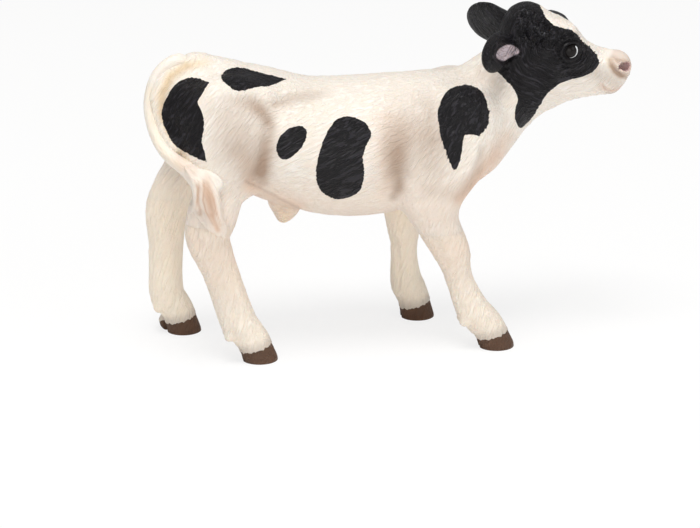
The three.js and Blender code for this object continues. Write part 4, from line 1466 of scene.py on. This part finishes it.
coat = coat_material()
torso = carved("torso", torso_field, *BOXES["torso"], body_cell, [
    (seam_point, seam_normal),
    (hind_seam, DOWN, lambda p: p.x < FLANK_X * MM),
    (fore_seam, DOWN, lambda p: p.x > GIRTH_X * MM),
])
dress("torso_skin", torso, "torso", coat)
head = carved("head", head_field, *BOXES["head"], head_cell, [(seam_point, -seam_normal)])
dress("head_skin", head, "head", coat)

for name, (side, pair, _, _) in LEGS.items():
    top = SEAM_HEIGHTS[pair]
    from_x, to_x = LEG_REACHES[pair]
    from_y, to_y = sorted(side * reach for reach in LEG_SIDES)
    low, high = (from_x, from_y, -BOX_MARGIN), (to_x, to_y, top + BOX_MARGIN)
    leg = carved(name, feet_field, low, high, leg_cell, [
        ((0, 0, top), UPWARD), ((0, 0, 0), DOWN),
    ])
    dress(name + "_skin", leg, name, coat)

tail = carved("tail", tail_field, *BOXES["tail"], leg_cell)
dress("tail_skin", tail, "tail", coat)
for name in EAR_PLACES:
    ear = carved(name, ear_field(name), *BOXES[name], head_cell)
    dress(name + "_skin", ear, name, coat)


EYE_ROWS = 24
EYE_COLUMNS = 36


def eye_point(row, column):
    """The number of a point of the ball, with one point at each pole"""
    if row in (0, EYE_ROWS):
        return (EYE_ROWS - 1) * EYE_COLUMNS + (row == EYE_ROWS)
    return (row - 1) * EYE_COLUMNS + column % EYE_COLUMNS


def eyeball(side):
    """A ball set into the head between the lids"""
    x, _, z = EYE_PLACE
    probe = np.array([[x, side * y, z] for y in np.linspace(7, 2, 101)])
    surface = abs(probe[np.argmax(head_field(probe) < 0), 1])
    centre = np.array([x, side * (surface - EYE_RADIUS + EYE_RISE), z]) + FRAME_SHIFT
    tilt = np.linspace(0, math.pi, EYE_ROWS + 1)[1:-1]
    turn = np.linspace(0, 2 * math.pi, EYE_COLUMNS, endpoint=False)
    rings = np.stack([
        np.outer(np.sin(tilt), np.cos(turn)), side * np.outer(np.cos(tilt), np.ones(EYE_COLUMNS)),
        np.outer(np.sin(tilt), np.sin(turn)),
    ], axis=2).reshape(-1, 3)
    directions = np.concatenate([rings, [(0, side, 0), (0, -side, 0)]])
    faces = []
    for row in range(EYE_ROWS):
        for column in range(EYE_COLUMNS):
            corners = ((row, column), (row, column + 1), (row + 1, column + 1), (row + 1, column))
            face = tuple(dict.fromkeys(eye_point(*corner) for corner in corners))
            faces.append(face[::-side])
    mesh = bpy.data.meshes.new("eye")
    mesh.from_pydata(((centre + EYE_RADIUS * directions) * MM).tolist(), [], faces)
    mesh.shade_smooth()
    ahead, out, up = directions.T
    reach = np.hypot(ahead, up)
    toward = (ahead * 0.9 - up * 0.42) / np.maximum(reach, 0.01)
    arc = np.exp(-((reach - CRESCENT_REACH) / CRESCENT_WIDTH) ** 2)
    note(mesh, "crescent", arc * smooth_step(toward, 0.15, 0.5) * (out * side > 0))
    return mesh


glossy = eye_material()
for side, name in ((-1, "right_eye"), (1, "left_eye")):
    dress(name, eyeball(side), "head", glossy)


# Stage
FLOOR_REACH = 3.0
FLOOR_COLOUR = (0.94, 0.94, 0.94, 1)
FLOOR_GLOW = 0.78  # share of plain white in what the camera sees of the floor
WORLD_STRENGTH = 0.36
# Name, place, size, power in watts and colour
LAMPS = [
    ("key", (-0.1, -0.18, 0.8), 0.4, 4.9, (1, 0.99, 0.97)),
    ("fill", (0.5, -0.5, 0.3), 0.5, 0.7, (1, 1, 1)),
    ("front", (-0.1, -0.7, 0.1), 0.5, 1.1, (1, 0.98, 0.96)),
]


def stage_floor():
    mesh = bpy.data.meshes.new("floor")
    reach = FLOOR_REACH
    corners = [(-reach, -reach, 0), (reach, -reach, 0), (reach, reach, 0), (-reach, reach, 0)]
    mesh.from_pydata(corners, [], [(0, 1, 2, 3)])
    shader = Shader("floor_white")
    seen = shader.add("LightPath", {})["Is Camera Ray"]
    shader.show(shader.add("MixShader", {
        0: shader.sum("MULTIPLY", seen, FLOOR_GLOW),
        1: shader.add("BsdfDiffuse", {"Color": FLOOR_COLOUR})["BSDF"],
        2: shader.add("Emission", {"Strength": 1})["Emission"],
    })["Shader"])
    mesh.materials.append(shader.material)
    floor = placed("floor", mesh)


def lamp(name, place, size, power, tint):
    data = bpy.data.lights.new(name, "AREA")
    data.shape = "DISK"
    data.size = size
    data.energy = power
    data.color = tint
    light = placed(name, data)
    light.location = place
    light.rotation_mode = "QUATERNION"
    light.rotation_quaternion = (Vector((0, 0, 0.03)) - Vector(place)).to_track_quat("-Z", "Y")


def studio():
    world = bpy.data.worlds.new("studio")
    bpy.context.scene.world = world
    world.use_nodes = True
    nodes, links = world.node_tree.nodes, world.node_tree.links
    ground = nodes["Background"]
    ground.inputs["Color"].default_value = (1, 1, 1, 1)
    path = nodes.new("ShaderNodeLightPath")
    strength = nodes.new("ShaderNodeMapRange")
    links.new(path.outputs["Is Camera Ray"], strength.inputs["Value"])
    strength.inputs["To Min"].default_value = WORLD_STRENGTH
    strength.inputs["To Max"].default_value = 1
    links.new(strength.outputs["Result"], ground.inputs["Strength"])
    for values in LAMPS:
        lamp(*values)
    bpy.context.scene.view_settings.view_transform = "Standard"


def camera():
    data = bpy.data.cameras.new("camera")
    data.sensor_width = 36
    data.lens = FOCAL * 36 / PHOTO_WIDTH
    data.clip_start, data.clip_end = 0.01, 10
    eye = placed("camera", data)
    turn = Matrix([RIGHT, UP, BACK]).transposed()
    eye.matrix_world = Matrix.Translation(EYE * MM) @ turn.to_4x4()
    bpy.context.scene.camera = eye


stage_floor()
studio()
camera()
